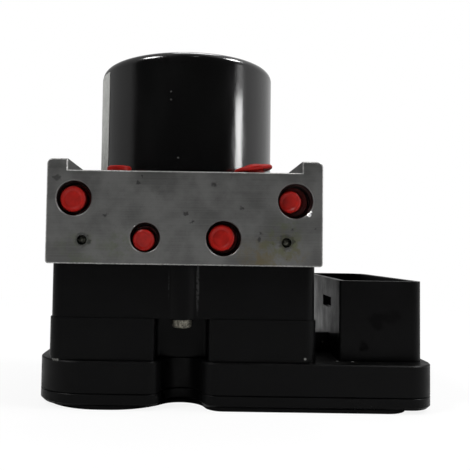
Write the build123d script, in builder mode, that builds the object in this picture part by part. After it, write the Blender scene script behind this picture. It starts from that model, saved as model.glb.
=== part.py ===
from build123d import *
from math import atan2, cos, degrees, radians, sin, sqrt, tan
import os

# Hydraulic and electronic unit of an anti-lock brake, standing on its controller's lid.
# Millimetres. X to the right, Y to the rear, Z up. The origin is the point where the
# motor's axis meets the surface that the unit rests on. The brake line ports face -Y.

os.makedirs("parts", exist_ok=True)

# Clearances
slide_gap = 0.05
seat_gap = 0.05
rest_gap = 0.1

# Valve block
block_width = 97.0
block_depth = 82.0
block_height = 32.9
ear_width = 7.25
ear_height = 4.0
ear_corner = 2.0
foot_corner = 1.0
edge_break = 0.4

# Controller, from the surface up
lid_plate_height = 1.2
lid_height = 4.3
flange_height = 11.2
step_height = 14.8
box_height = 18.9
flange_reach_left = 5.2
connector_reach = 40.2
flange_reach_rear = 6.5
seam_break = 0.3
flange_corner_front_left = 16.0
flange_corner_right = 9.0
flange_corner_rear_left = 10.0
box_half_width = 46.8
box_setback = 2.5
box_corner = 4.0
box_wall = 3.2
step_lip = 0.5
shell_wall = 2.4
partition_height = 2.5
partition_top_below_box = 1.6
slot_roof = 2.0
lid_floor = 2.0
lid_edge_break = 1.0
plate_inset = 0.8
plate_end_inset = 9.0
plate_corner_front_left = 22.0
plate_left_lip_radius = 24.0
plate_right_lip_radius = 6.5
plate_notch_radius = 8.7

# Notches in the controller for its fixing screws
front_screw_x = -0.4
front_screw_setback = 6.2
rear_screw_inset = 18.8
rear_screw_setback = 6.2
notch_radius = 7.2
notch_depth = 12.0
notch_lip_radius = 5.5
rear_notch_lip_radius = 5.0
step_notch_width = 18.8
step_notch_corner = 1.5
step_mouth_fillet = 1.4
screw_tube_radius = 5.5
screw_tube_fillet = 1.3
screw_hole_radius = 2.3
screw_shank_radius = 2.0
screw_head_radius = 3.4
screw_head_height = 2.9
screw_grip = 9.0
screw_collar = 0.5
screw_collar_margin = 0.6
hole_spare = 2.0

# Connector shroud
shroud_setback = 7.5
shroud_gap = 9.5
shroud_skew = 3.2
shroud_ledge_right = 2.2
shroud_ledge_rear = 2.5
shroud_height = 28.8
shroud_wall = 2.2
shroud_corner = 4.0
shroud_front_left_corner = 1.0
shroud_rear_corner = 8.0
socket_floor_rise = 3.6
socket_floor_height = 2.6
window_length = 16.6
window_height = 4.2
window_start = 16.0
window_drop = 9.3
web_height = 7.3
web_thickness = 2.2
web_setback = 29.0
pin_side = 0.8
pin_pitch = 4.4
pin_rows = 3
pins_per_row = 11
pin_height = 9.0
power_blade_thickness = 0.8
power_blade_place = 9.0
board_height = 1.6
board_gap = 3.2
board_inset = 3.4
post_radius = 2.4
post_inset = 5.7

# Motor
can_radius = 35.0
can_height = 45.3
can_boss_rise = 2.4
can_wall = 1.8
can_shoulder = 3.4
motor_lug_angle = 45.0
motor_screw_circle = 42.0
motor_lug_radius = 5.2
motor_lug_height = 2.4
motor_lug_flare = 6.0
motor_screw_radius = 2.5
motor_screw_depth = 12.0
motor_screw_head_radius = 4.2
motor_screw_head_height = 2.8
label_thickness = 0.15
label_glue = 0.02
label_rise = 3.1
label_top_gap = 0.2
label_edge_angle = 59.3
label_span = 95.0
magnet_thickness = 5.4
magnet_overlap = 3.0
magnet_span = 68.0
core_radius = 26.6
core_top_gap = 5.3
core_bottom_gap = 0.3
core_slots = 12
slot_width = 5.0
slot_inner_radius = 13.0
slot_mouth = 1.6
slot_lip = 2.2
slot_lining = 0.2
winding_overhang = 3.2
commutator_radius = 11.0
commutator_height = 6.0
commutator_rise = 2.9
commutator_bars = 12
rear_bearing_radius = 8.0
rear_bearing_height = 6.0
bearing_seat_wall = 1.6
brush_plate_radius = 32.6
brush_plate_height = 2.0
brush_width = 6.0
brush_height = 5.0
brush_length = 8.0
holder_wall = 1.2
brush_spring_length = 6.0
brush_spring_radius = 1.8
brush_spring_wire = 0.5

# Shaft, eccentric and pump
shaft_radius = 4.0
journal_radius = 3.0
chamber_radius = 12.0
eccentric_radius = 6.0
eccentric_throw = 1.5
eccentric_ring_radius = 9.0
eccentric_ring_height = 9.0
front_bearing_height = 6.2
tail_bush_radius = 5.0
tail_bush_height = 5.0
pump_axis_height = 21.6
pump_piston_radius = 4.0
pump_piston_length = 19.0
pump_sleeve_radius = 7.0
pump_sleeve_inner_end = 12.6
pump_sleeve_length = 23.4
pump_sleeve_floor = 2.0
pump_valve_hole = 1.2
pump_valve_ball = 2.0
pump_spring_wire = 0.8
pump_spring_pocket = 5.0
pump_cap_spigot = 6.0
pump_cap_radius = 9.0
pump_cap_recess = 0.5
pump_cap_bevel = 0.8
pump_cap_rim = 2.4
pump_cap_groove_width = 2.0
pump_cap_groove_depth = 0.6
pump_cap_hollow_depth = 1.8

# Accumulators, drilled from the rear
accumulator_x = 12.0
accumulator_axis_height = 23.0
accumulator_radius = 8.0
accumulator_bore_depth = 25.0
accumulator_piston_length = 8.0
accumulator_cup_radius = 5.6
accumulator_cup_depth = 4.0
accumulator_spring_wire = 1.4
accumulator_cap_radius = 9.0
accumulator_cap_height = 3.6
accumulator_cap_recess = 0.4
accumulator_cap_bevel = 0.6
accumulator_cap_rim = 3.0
accumulator_cap_hollow_depth = 1.0

# Solenoid valves, two rows of four, entering from below
valve_radius = 5.5
valve_depth = 11.6
valve_collar_radius = 6.5
valve_collar_height = 1.2
dome_radius = 3.0
dome_wall = 0.7
dome_length = 18.2
plunger_length = 14.0
plunger_stroke = 0.3
needle_radius = 0.8
needle_length = 5.6
coil_spacing = 4.8
coil_side_gap = 2.0
coil_slot_gap = 1.0
coil_height = 18.3
coil_flange = 1.5
coil_waist = 0.7

# Ports: mouth, thread and plug sizes of the two sizes of line
port_depth = 14.0
port_mouth_depth = 2.6
port_rim_break = 0.3
large_mouth = 6.2
large_thread = 5.55
large_plug = 4.53
small_mouth = 5.25
small_thread = 4.65
small_plug = 3.82
port_feed_radius = 1.5
drill_cone = 0.6
riser_x = 36.8
outer_port_x = 38.85
outer_port_height = 22.95
inner_port_x = 13.75
inner_port_height = 9.5
plug_sink = 0.6
plug_pivot_depth = 7.0
plug_tail = 3.2
plug_lip_half = 1.1
plug_dish = 0.35
ball_plug_x = 35.8
ball_plug_height = 8.3
ball_plug_radius = 1.75
ball_plug_sink = 0.9

# Ports for the master cylinder, on the top face in front of the motor
master_port_x = 24.6
master_port_setback = 7.0
master_mouth = 5.9
master_thread = 5.2
master_port_depth = 12.0
pin_plug_radius = 4.35
pin_plug_proud = 2.2
pin_plug_shift = 0.65
cap_plug_radius = 6.9
cap_plug_rim = 1.7
cap_plug_crown = 1.9
cap_plug_tilt = 8.7
cap_plug_stem = 3.9
cap_plug_stem_length = 6.2

# Holes for the unit's bracket, and for motor and controller wiring
bracket_hole_x = 38.0
bracket_hole_height = 16.5
bracket_hole_radius = 2.5
bracket_hole_depth = 12.0
side_hole_y = 22.0
contact_y = 26.0
contact_column_radius = 2.2
contact_pin_radius = 0.6
contact_pin_spread = 1.0
contact_column_drop = 4.0
contact_pin_tip = 1.5

# Levels and planes worked out from the sizes above
lid_z = lid_plate_height
flange_z = lid_z + lid_height
step_z = flange_z + flange_height
box_z = step_z + step_height
block_z = box_z + box_height
deck_z = block_z + block_height
front_y = -block_depth / 2
rear_y = block_depth / 2
box_depth = block_depth - 2 * box_setback
coil_room_z = box_z - partition_top_below_box + rest_gap
pump_z = block_z + pump_axis_height
chamber_floor_z = pump_z - eccentric_ring_height / 2 - 2
pump_sleeve_end = pump_sleeve_inner_end + pump_sleeve_length
pump_spigot_end = pump_sleeve_end + pump_cap_spigot
piston_end_x = eccentric_ring_radius + eccentric_throw + rest_gap
accumulator_z = block_z + accumulator_axis_height
accumulator_cap_y = rear_y - accumulator_cap_height - accumulator_cap_recess
master_port_y = front_y + master_port_setback
board_z = flange_z + board_gap
socket_floor_z = step_z + socket_floor_rise
block_half = block_width / 2
flange_left = -box_half_width - flange_reach_left
flange_right = block_half + connector_reach
flange_rear = rear_y + flange_reach_rear
shroud_front_y = front_y + shroud_setback
shroud_rear_y = flange_rear - shroud_ledge_rear
shroud_left = box_half_width + shroud_gap
shroud_left_rear = shroud_left + shroud_skew
shroud_right = flange_right - shroud_ledge_right
socket_width = shroud_right - shroud_left_rear - 2 * shroud_wall
shroud_top_z = step_z + shroud_height
pin_field_x = (shroud_left_rear + shroud_right) / 2
pin_field_y = (shroud_front_y + shroud_rear_y) / 2 + power_blade_place / 2
pin_row_pitch = socket_width / 4
power_blade_pitch = socket_width / 2.4
power_blade_width = power_blade_pitch / 1.5
can_roof = can_height - can_wall
core_rise = commutator_rise + commutator_height + core_bottom_gap + winding_overhang
core_z = deck_z + core_rise
core_height = can_roof - core_top_gap - winding_overhang - core_rise
screw_length = box_height + screw_collar + screw_grip
slot_depth_behind_screw = notch_depth - front_screw_setback
rear_screw_x = box_half_width - rear_screw_inset
# Four coils side by side fill the box, and each row stands clear of the slots of the screws behind it
coil_radius = (box_half_width - box_wall - coil_side_gap - 1.5 * coil_spacing) / 4
valve_pitch = 2 * coil_radius + coil_spacing
valve_row_y = rear_y - rear_screw_setback - slot_depth_behind_screw - shell_wall - coil_slot_gap - coil_radius
valve_xs = [valve_pitch * (i - 1.5) for i in range(4)]
screw_places = [
    (front_screw_x, front_y + front_screw_setback), (-rear_screw_x, rear_y - rear_screw_setback),
    (rear_screw_x, rear_y - rear_screw_setback),
]
lug_turn = radians(motor_lug_angle)
motor_screw_places = [
    (side * motor_screw_circle * sin(lug_turn), motor_screw_circle * cos(lug_turn)) for side in (-1, 1)
]
post_places = [
    (x, y)
    for x in (flange_left + post_inset, shroud_left - post_inset, flange_right - post_inset - 1)
    for y in (front_y + 2 * post_inset, flange_rear - 2 * post_inset)
]

# Across, up, mouth and thread core of each brake line port
front_ports = [
    (-outer_port_x, outer_port_height, large_mouth, large_thread),
    (outer_port_x, outer_port_height, large_mouth, large_thread),
    (-inner_port_x, inner_port_height, small_mouth, small_thread),
    (inner_port_x, inner_port_height, large_mouth, large_thread),
]

# Across, up, face and thread core of each plug, and its lean in degrees to the right and upwards
front_plugs = {
    "port_plug_outer_left": (-outer_port_x, outer_port_height, large_plug, large_thread, -4.4, -2.6),
    "port_plug_outer_right": (outer_port_x, outer_port_height, small_plug, large_thread, -17, -2.5),
    "port_plug_inner_left": (-inner_port_x, inner_port_height, small_plug, small_thread, -4.5, -9),
    "port_plug_inner_right": (inner_port_x, inner_port_height, large_plug, large_thread, -6.5, 2),
}


def profile_plane(seat):
    """The plane through a seat's normal, in which X is the radius and Y the height above the seat."""
    return Plane(origin=seat.origin, x_dir=seat.x_dir, z_dir=-seat.y_dir)


def level(z):
    """The horizontal plane at a height."""
    return Plane.XY.offset(z)


def facing(x, y, z, direction):
    """A seat at a point with its normal along a direction that isn't vertical."""
    return Plane(origin=(x, y, z), x_dir=Vector(0, 0, 1).cross(Vector(direction)), z_dir=direction)


def turn(seat, outline, mode=Mode.ADD):
    """Turn (radius, height) points about the seat's normal, in the open part."""
    with BuildSketch(profile_plane(seat)) as profile:
        with BuildLine():
            Polyline(*outline, close=True)
        make_face()
    revolve(profile.sketch, axis=Axis(seat.origin, seat.z_dir), mode=mode)


def wind(seat, radius, wire, length, turns):
    """Sweep a coil spring that stands on the seat, in the open part."""
    with BuildLine():
        path = Helix(
            pitch=(length - wire) / turns,
            height=length - wire,
            radius=radius,
            center=seat.origin + seat.z_dir * wire / 2,
            direction=seat.z_dir,
        )
    with BuildSketch(Plane(origin=path @ 0, z_dir=path % 0)) as section:
        RegularPolygon(radius=wire / 2, side_count=6)
    sweep(section.sketch, path=path, is_frenet=True)


def save(piece, name):
    """Label a finished piece and write it under that name."""
    piece.part.label = name
    export_step(piece.part, f"parts/{name}.step")


def bore_port(seat, mouth, thread, depth):
    """Cut one port down from the seat: a wide mouth, the thread's core and the drill's cone."""
    shelf = port_mouth_depth + mouth - thread
    tip = depth + (thread - port_feed_radius) * drill_cone
    turn(
        seat,
        [
            (0, 1), (mouth + port_rim_break, 1), (mouth + port_rim_break, 0), (mouth, -port_rim_break),
            (mouth, -port_mouth_depth), (thread, -shelf), (thread, -depth), (port_feed_radius, -tip), (0, -tip),
        ],
        mode=Mode.SUBTRACT,
    )


# Valve block: one extruded profile with a raised ear along each side, then drilled from every face
with BuildPart() as valve_block:
    with BuildSketch(Plane.XZ.offset(-rear_y)):
        with BuildLine():
            Polyline(
                (-block_half, block_z), (block_half, block_z), (block_half, deck_z + ear_height),
                (block_half - ear_width, deck_z + ear_height), (block_half - ear_width, deck_z),
                (ear_width - block_half, deck_z), (ear_width - block_half, deck_z + ear_height),
                (-block_half, deck_z + ear_height), close=True,
            )
        make_face()
        fillet(vertices().group_by(Axis.Y)[0], foot_corner)
        fillet(vertices().group_by(Axis.Y)[-1].sort_by(Axis.X)[0], ear_corner)
        fillet(vertices().group_by(Axis.Y)[-1].sort_by(Axis.X)[-1], ear_corner)
    extrude(amount=block_depth)
    chamfer(faces().sort_by(Axis.Y)[0].outer_wire().edges(), edge_break)
    chamfer(faces().sort_by(Axis.Y)[-1].outer_wire().edges(), edge_break)
    # Ports for the four brake lines, with their drillings to the valves
    for x, height, mouth, thread in front_ports:
        bore_port(facing(x, front_y, block_z + height, (0, -1, 0)), mouth, thread, port_depth)
        with Locations(facing(x, front_y, block_z + height, (0, -1, 0))):
            Hole(port_feed_radius, depth=rear_y - valve_row_y)
    for side in (-1, 1):
        with Locations(Location((side * riser_x, -valve_row_y, block_z), (180, 0, 0))):
            Hole(port_feed_radius, depth=outer_port_height)
        with Locations(facing(side * ball_plug_x, front_y, block_z + ball_plug_height, (0, -1, 0))):
            Hole(ball_plug_radius, depth=rear_y - valve_row_y)
    # Ports for the two lines from the master cylinder
    for side in (-1, 1):
        bore_port(
            Plane(origin=(side * master_port_x, master_port_y, deck_z)), master_mouth, master_thread, master_port_depth
        )
    # Chamber of the eccentric with the seat of the tail bush, then the pump bores into it
    with Locations(Location((0, 0, deck_z))):
        Hole(chamber_radius, depth=deck_z - chamber_floor_z)
        Hole(tail_bush_radius, depth=deck_z - chamber_floor_z + tail_bush_height)
    for side in (-1, 1):
        with Locations(facing(side * block_half, 0, pump_z, (side, 0, 0))):
            CounterBoreHole(
                pump_sleeve_radius, pump_cap_radius, block_half - pump_spigot_end, block_half - chamber_radius / 2
            )
    # Accumulators and their drillings to the pump
    for side in (-1, 1):
        with Locations(facing(side * accumulator_x, rear_y, accumulator_z, (0, 1, 0))):
            CounterBoreHole(
                accumulator_radius, accumulator_cap_radius, rear_y - accumulator_cap_y, accumulator_bore_depth
            )
        with Locations(facing(side * (accumulator_x + 2), rear_y, accumulator_z, (0, 1, 0))):
            Hole(port_feed_radius, depth=rear_y)
    # Valve bores from below
    for row in (-valve_row_y, valve_row_y):
        for x in valve_xs:
            with Locations(Location((x, row, block_z), (180, 0, 0))):
                CounterBoreHole(valve_radius, valve_collar_radius, valve_collar_height, valve_depth)
    # Threaded holes for the motor, the controller and the bracket, and the way for the motor's wires
    for x, y in motor_screw_places:
        with Locations(Location((x, y, deck_z))):
            Hole(motor_screw_radius, depth=motor_screw_depth)
    for x, y in screw_places:
        with Locations(Location((x, y, block_z), (180, 0, 0))):
            Hole(screw_shank_radius + seat_gap, depth=screw_grip + hole_spare)
    for side in (-1, 1):
        with Locations(facing(side * bracket_hole_x, rear_y, block_z + bracket_hole_height, (0, 1, 0))):
            Hole(bracket_hole_radius, depth=bracket_hole_depth)
    with Locations(facing(-block_half, side_hole_y, block_z + bracket_hole_height, (-1, 0, 0))):
        Hole(bracket_hole_radius, depth=bracket_hole_depth)
    with Locations(Location((0, contact_y, deck_z))):
        Hole(contact_column_radius + seat_gap, depth=block_height)
save(valve_block, "valve_block")

# Steel balls that close the two cross drillings in the front face
with BuildPart() as ball_plugs:
    with Locations([
        (side * ball_plug_x, front_y + ball_plug_sink + ball_plug_radius, block_z + ball_plug_height)
        for side in (-1, 1)
    ]):
        Sphere(ball_plug_radius - seat_gap)
save(ball_plugs, "ball_plugs")


def turn_stub_plug(seat, face, lip, pivot_depth):
    """Turn a push-in plug: a stub with a dished face, a rounded sealing lip and a tapered tail."""
    lip_side = sqrt(lip ** 2 - plug_lip_half ** 2)
    neck = face * 0.86
    with BuildSketch(profile_plane(seat)) as profile:
        with BuildLine():
            Polyline(
                (0, -pivot_depth - plug_tail), (0, -plug_dish), (face * 0.62, -plug_dish), (face * 0.8, 0),
                (face - edge_break, 0), (face, -edge_break), (face, plug_lip_half - pivot_depth),
                (lip_side, plug_lip_half - pivot_depth),
            )
            ThreePointArc(
                (lip_side, plug_lip_half - pivot_depth), (lip, -pivot_depth), (lip_side, -plug_lip_half - pivot_depth)
            )
            Polyline(
                (lip_side, -plug_lip_half - pivot_depth), (neck, -plug_lip_half - pivot_depth),
                (face * 0.6, -pivot_depth - plug_tail), (0, -pivot_depth - plug_tail),
            )
        make_face()
    revolve(profile.sketch, axis=Axis(seat.origin, seat.z_dir))


# Plugs of the brake line ports: each leans a little about its lip, by degrees to the right and upwards
for name, (x, height, face, thread, lean_x, lean_z) in front_plugs.items():
    axis = Vector(tan(radians(lean_x)), -1, tan(radians(lean_z))).normalized()
    pivot = Vector(x, front_y + plug_sink + plug_pivot_depth, block_z + height)
    face_centre = pivot + axis * plug_pivot_depth
    with BuildPart() as port_plug:
        turn_stub_plug(
            facing(face_centre.X, face_centre.Y, face_centre.Z, axis), face, thread - seat_gap, plug_pivot_depth
        )
    save(port_plug, name)

# Left master cylinder plug: the same kind of stub, standing proud of the top face
with BuildPart() as master_plug_left:
    turn_stub_plug(
        Plane(origin=(pin_plug_shift - master_port_x, master_port_y, deck_z + pin_plug_proud)),
        pin_plug_radius, pin_plug_radius + 0.15, pin_plug_proud + 4,
    )
save(master_plug_left, "master_plug_left")

# Right master cylinder plug: a rolled rim round a low crown, with a stem, tilted in its port
cap_ring = cap_plug_radius - cap_plug_rim / 2
cap_tilt = radians(cap_plug_tilt)
cap_seat = Plane(
    origin=(master_port_x, master_port_y, deck_z + cap_ring * sin(cap_tilt) + cap_plug_rim / 2 + rest_gap),
    x_dir=(cos(cap_tilt), 0, sin(cap_tilt)),
    z_dir=(-sin(cap_tilt), 0, cos(cap_tilt)),
)
with BuildPart() as master_plug_right:
    with BuildSketch(profile_plane(cap_seat)):
        with BuildLine():
            ThreePointArc((0, cap_plug_crown), (cap_ring * 0.6, cap_plug_crown * 0.68), (cap_ring, 0))
            Polyline(
                (cap_ring, 0), (cap_ring, -cap_plug_rim * 0.3), (cap_plug_stem, -cap_plug_rim * 0.3),
                (cap_plug_stem, 1.5 - cap_plug_stem_length), (cap_plug_stem - 1.2, -cap_plug_stem_length),
                (0, -cap_plug_stem_length), (0, cap_plug_crown),
            )
        make_face()
        with Locations((cap_ring, 0)):
            Circle(cap_plug_rim / 2)
    revolve(axis=Axis(cap_seat.origin, cap_seat.z_dir))
save(master_plug_right, "master_plug_right")

# Pump: on each side a sleeve, a piston that rides the eccentric, its spring, a valve ball and an end cap
ball_place = pump_sleeve_end + pump_valve_ball * 0.45
with BuildPart() as pump_valve_balls:
    with Locations([(side * ball_place, 0, pump_z) for side in (-1, 1)]):
        Sphere(pump_valve_ball)
save(pump_valve_balls, "pump_valve_balls")

sleeve_bore = pump_piston_radius + slide_gap
sleeve_outside = pump_sleeve_radius - seat_gap
sleeve_floor = pump_sleeve_end - pump_sleeve_floor
piston_back = piston_end_x + pump_piston_length
spring_start = piston_back + rest_gap
cap_outside = pump_cap_radius - seat_gap
cap_end = block_half - pump_cap_recess
cap_rim_inside = cap_outside - pump_cap_rim
cap_groove_outside = cap_rim_inside - pump_cap_groove_depth
cap_groove_inside = cap_groove_outside - pump_cap_groove_width
cap_groove_x = cap_end - pump_cap_groove_depth
cap_hollow_x = cap_end - pump_cap_hollow_depth
ball_cavity = pump_valve_ball + seat_gap
cavity_end = ball_place + ball_cavity
for side, word in ((-1, "left"), (1, "right")):
    outward = facing(0, 0, pump_z, (side, 0, 0))
    with BuildPart() as pump_sleeve:
        turn(
            outward,
            [
                (sleeve_bore, pump_sleeve_inner_end), (sleeve_outside, pump_sleeve_inner_end),
                (sleeve_outside, pump_sleeve_end), (pump_valve_ball, pump_sleeve_end),
                (pump_valve_hole, pump_sleeve_end - pump_valve_ball + pump_valve_hole),
                (pump_valve_hole, sleeve_floor), (sleeve_bore, sleeve_floor),
            ],
        )
    save(pump_sleeve, f"pump_sleeve_{word}")
    with BuildPart() as pump_piston:
        turn(
            outward,
            [
                (0, piston_end_x), (pump_piston_radius - edge_break, piston_end_x),
                (pump_piston_radius, piston_end_x + edge_break), (pump_piston_radius, piston_back),
                (pump_piston_radius * 0.6, piston_back), (pump_piston_radius * 0.6, piston_back - pump_spring_pocket),
                (0, piston_back - pump_spring_pocket),
            ],
        )
    save(pump_piston, f"pump_piston_{word}")
    with BuildPart() as pump_spring:
        wind(
            facing(side * spring_start, 0, pump_z, (side, 0, 0)), pump_piston_radius - pump_spring_wire,
            pump_spring_wire, sleeve_floor - rest_gap - spring_start, 3,
        )
    save(pump_spring, f"pump_spring_{word}")
    with BuildPart() as pump_cap:
        turn(
            outward,
            [
                (0, cavity_end), (ball_cavity, cavity_end), (ball_cavity, pump_sleeve_end + rest_gap),
                (sleeve_outside, pump_sleeve_end + rest_gap), (sleeve_outside, pump_spigot_end),
                (cap_outside, pump_spigot_end), (cap_outside, cap_end - pump_cap_bevel),
                (cap_outside - pump_cap_bevel, cap_end), (cap_rim_inside, cap_end),
                (cap_groove_outside, cap_groove_x), (cap_groove_inside, cap_groove_x),
                (cap_groove_inside - pump_cap_groove_depth, cap_hollow_x), (0, cap_hollow_x),
            ],
        )
    save(pump_cap, f"pump_cap_{word}")

# Accumulators: a cup-shaped piston against its spring, closed by a cap in the rear face
cup_outside = accumulator_radius - slide_gap
cup_start = rear_y - accumulator_bore_depth + rest_gap
cup_rim = cup_start + accumulator_piston_length
cup_floor = cup_rim - accumulator_cup_depth
lid_outside = accumulator_cap_radius - seat_gap
lid_face = rear_y - accumulator_cap_recess
lid_rim_inside = lid_outside - accumulator_cap_rim
lid_hollow_y = lid_face - accumulator_cap_hollow_depth
for side, word in ((-1, "left"), (1, "right")):
    rearward = facing(side * accumulator_x, 0, accumulator_z, (0, 1, 0))
    with BuildPart() as accumulator_piston:
        turn(
            rearward,
            [
                (0, cup_start), (cup_outside - 0.9, cup_start), (cup_outside, cup_start + 0.9), (cup_outside, cup_rim),
                (accumulator_cup_radius, cup_rim), (accumulator_cup_radius, cup_floor), (0, cup_floor),
            ],
        )
    save(accumulator_piston, f"accumulator_piston_{word}")
    with BuildPart() as accumulator_spring:
        wind(
            facing(side * accumulator_x, cup_floor + rest_gap, accumulator_z, (0, 1, 0)),
            accumulator_cup_radius - accumulator_spring_wire, accumulator_spring_wire,
            accumulator_cap_y - cup_floor - 2 * rest_gap, 4,
        )
    save(accumulator_spring, f"accumulator_spring_{word}")
    with BuildPart() as accumulator_cap:
        turn(
            rearward,
            [
                (0, accumulator_cap_y), (lid_outside, accumulator_cap_y),
                (lid_outside, lid_face - accumulator_cap_bevel),
                (lid_outside - accumulator_cap_bevel, lid_face), (lid_rim_inside, lid_face),
                (lid_rim_inside - accumulator_cap_bevel, lid_hollow_y), (0, lid_hollow_y),
            ],
        )
    save(accumulator_cap, f"accumulator_cap_{word}")

# Solenoid valves: cartridge with its dome, plunger with its needle, and the coil round the dome
dome_bore = dome_radius - dome_wall
dome_floor = dome_wall - dome_length
dome_roof = dome_floor + plunger_length + plunger_stroke + 2 * rest_gap
needle_bore = needle_radius + slide_gap
valve_outside = valve_radius - seat_gap
collar_outside = valve_collar_radius - seat_gap


def turn_valve(x, y):
    """Turn the cartridge that is staked into the block, with a closed dome hanging below it."""
    turn(
        Plane(origin=(x, y, block_z)),
        [
            (0, valve_depth - rest_gap), (valve_radius - 1.6, valve_depth - rest_gap),
            (valve_outside, valve_depth - 1.7), (valve_outside, valve_collar_height),
            (collar_outside, valve_collar_height), (collar_outside, 0), (dome_radius + 0.8, 0), (dome_radius, -0.8),
            (dome_radius, 1 - dome_length), (dome_radius - 1, -dome_length), (0, -dome_length), (0, dome_floor),
            (dome_bore, dome_floor), (dome_bore, dome_roof), (needle_bore, dome_roof),
            (needle_bore, dome_roof + needle_length), (0, dome_roof + needle_length),
        ],
    )


def turn_plunger(x, y, lift):
    """Turn the sliding armature with its needle, resting by the given lift above the dome's floor."""
    radius = dome_bore - slide_gap
    turn(
        Plane(origin=(x, y, block_z + dome_floor + rest_gap + lift)),
        [
            (0, 0), (radius - edge_break, 0), (radius, edge_break), (radius, plunger_length - edge_break),
            (radius - edge_break, plunger_length), (needle_radius, plunger_length),
            (needle_radius, plunger_length + needle_length - 0.6), (0, plunger_length + needle_length),
        ],
    )


def turn_coil(x, y):
    """Turn a wound coil with a flange at each end, pushed over the dome."""
    bore = dome_radius + rest_gap
    waist = coil_radius - coil_waist
    turn(
        Plane(origin=(x, y, coil_room_z)),
        [
            (bore, 0), (coil_radius, 0), (coil_radius, coil_flange), (waist, coil_flange),
            (waist, coil_height - coil_flange), (coil_radius, coil_height - coil_flange), (coil_radius, coil_height),
            (bore, coil_height),
        ],
    )


for row_y, kind, lift in ((-valve_row_y, "inlet", 0), (valve_row_y, "outlet", plunger_stroke)):
    with BuildPart() as valves:
        for x in valve_xs:
            turn_valve(x, row_y)
    save(valves, f"{kind}_valves")
    with BuildPart() as coils:
        for x in valve_xs:
            turn_coil(x, row_y)
    save(coils, f"{kind}_coils")
    for number, x in enumerate(valve_xs, 1):
        with BuildPart() as plunger:
            turn_plunger(x, row_y, lift)
        save(plunger, f"{kind}_plunger_{number}")

# Motor can: drawn steel, open below, with a boss that seats the rear bearing and two fixing lugs
can_inside = can_radius - can_wall
boss_roof = can_roof + can_boss_rise
seat_inside = rear_bearing_radius + seat_gap
seat_outside = seat_inside + bearing_seat_wall
seat_rim = boss_roof - rear_bearing_height
with BuildPart() as motor_can:
    with BuildSketch(profile_plane(level(deck_z))):
        with BuildLine():
            Polyline(
                (can_inside, 0), (can_radius, 0), (can_radius, can_height), (seat_outside + 1, can_height),
                (seat_outside - 0.5, can_height + can_boss_rise), (0, can_height + can_boss_rise), (0, boss_roof),
                (seat_inside, boss_roof), (seat_inside, seat_rim), (seat_outside, seat_rim),
                (seat_outside, can_roof), (can_inside, can_roof), close=True,
            )
        make_face()
        fillet(vertices().group_by(Axis.X)[-1].sort_by(Axis.Y)[-1], can_shoulder)
        fillet(vertices().filter_by_position(Axis.Y, can_roof, can_roof).sort_by(Axis.X)[-1], can_shoulder - can_wall)
    revolve(axis=Axis.Z)
    for x, y in motor_screw_places:
        with BuildSketch(level(deck_z)):
            with Locations(Location((x, y), degrees(atan2(y, x)))):
                Circle(motor_lug_radius)
                Trapezoid(
                    2 * motor_lug_radius + motor_lug_flare, motor_screw_circle - can_inside, 70, rotation=-90,
                    align=(Align.CENTER, Align.MAX),
                )
                Circle(motor_screw_radius + seat_gap, mode=Mode.SUBTRACT)
            Circle(can_inside, mode=Mode.SUBTRACT)
        extrude(amount=motor_lug_height)
save(motor_can, "motor_can")

with BuildPart() as motor_screws:
    for x, y in motor_screw_places:
        turn(
            Plane(origin=(x, y, deck_z + motor_lug_height)),
            [
                (0, motor_screw_head_height - 1.4), (1.8, motor_screw_head_height - 1.4),
                (2.1, motor_screw_head_height), (motor_screw_head_radius - 0.6, motor_screw_head_height),
                (motor_screw_head_radius, motor_screw_head_height - 0.6), (motor_screw_head_radius, 0),
                (motor_screw_radius - seat_gap, 0), (motor_screw_radius - seat_gap, 1 - motor_screw_depth),
                (0, 1 - motor_screw_depth),
            ],
        )
save(motor_screws, "motor_screws")


def arc_band(inner, outer, start, span):
    """A ring section in the open sketch."""
    with BuildLine() as band:
        inside = CenterArc((0, 0), inner, start, span)
        outside = CenterArc((0, 0), outer, start, span)
        Line(inside @ 0, outside @ 0)
        Line(inside @ 1, outside @ 1)
    make_face(band.edges())


# Blank label, wrapped round the left of the can
label_inside = can_radius + label_glue
with BuildPart() as motor_label:
    with BuildSketch(level(deck_z + label_rise)):
        arc_band(label_inside, label_inside + label_thickness, 270 - label_edge_angle - label_span, label_span)
    extrude(amount=can_height - can_shoulder - label_rise - label_top_gap)
save(motor_label, "motor_label")

# Permanent magnets, glued inside the can
magnet_outside = can_inside - seat_gap
with BuildPart() as magnets:
    for start in range(45, 360, 90):
        with BuildSketch(level(core_z - magnet_overlap)):
            arc_band(magnet_outside - magnet_thickness, magnet_outside, start - magnet_span / 2, magnet_span)
        extrude(amount=core_height + 2 * magnet_overlap)
save(magnets, "magnets")

# Shaft with its eccentric, turned as one piece
ring_z = pump_z - eccentric_ring_height / 2
shaft_tail_z = chamber_floor_z - tail_bush_height + rest_gap
shaft_top_z = deck_z + boss_roof - rest_gap
shaft_shoulder_z = shaft_top_z - rear_bearing_height - 2
with BuildPart() as rotor_shaft:
    with BuildSketch(level(shaft_tail_z)):
        Circle(journal_radius)
    extrude(amount=ring_z - shaft_tail_z)
    with BuildSketch(level(ring_z)):
        with Locations((0, -eccentric_throw)):
            Circle(eccentric_radius)
    extrude(amount=eccentric_ring_height)
    with BuildSketch(level(ring_z + eccentric_ring_height)):
        Circle(shaft_radius)
    extrude(amount=shaft_shoulder_z - ring_z - eccentric_ring_height)
    with BuildSketch(level(shaft_shoulder_z)):
        Circle(journal_radius)
    extrude(amount=shaft_top_z - shaft_shoulder_z)
    chamfer(edges().group_by(Axis.Z)[-1], edge_break)
save(rotor_shaft, "rotor_shaft")


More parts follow.
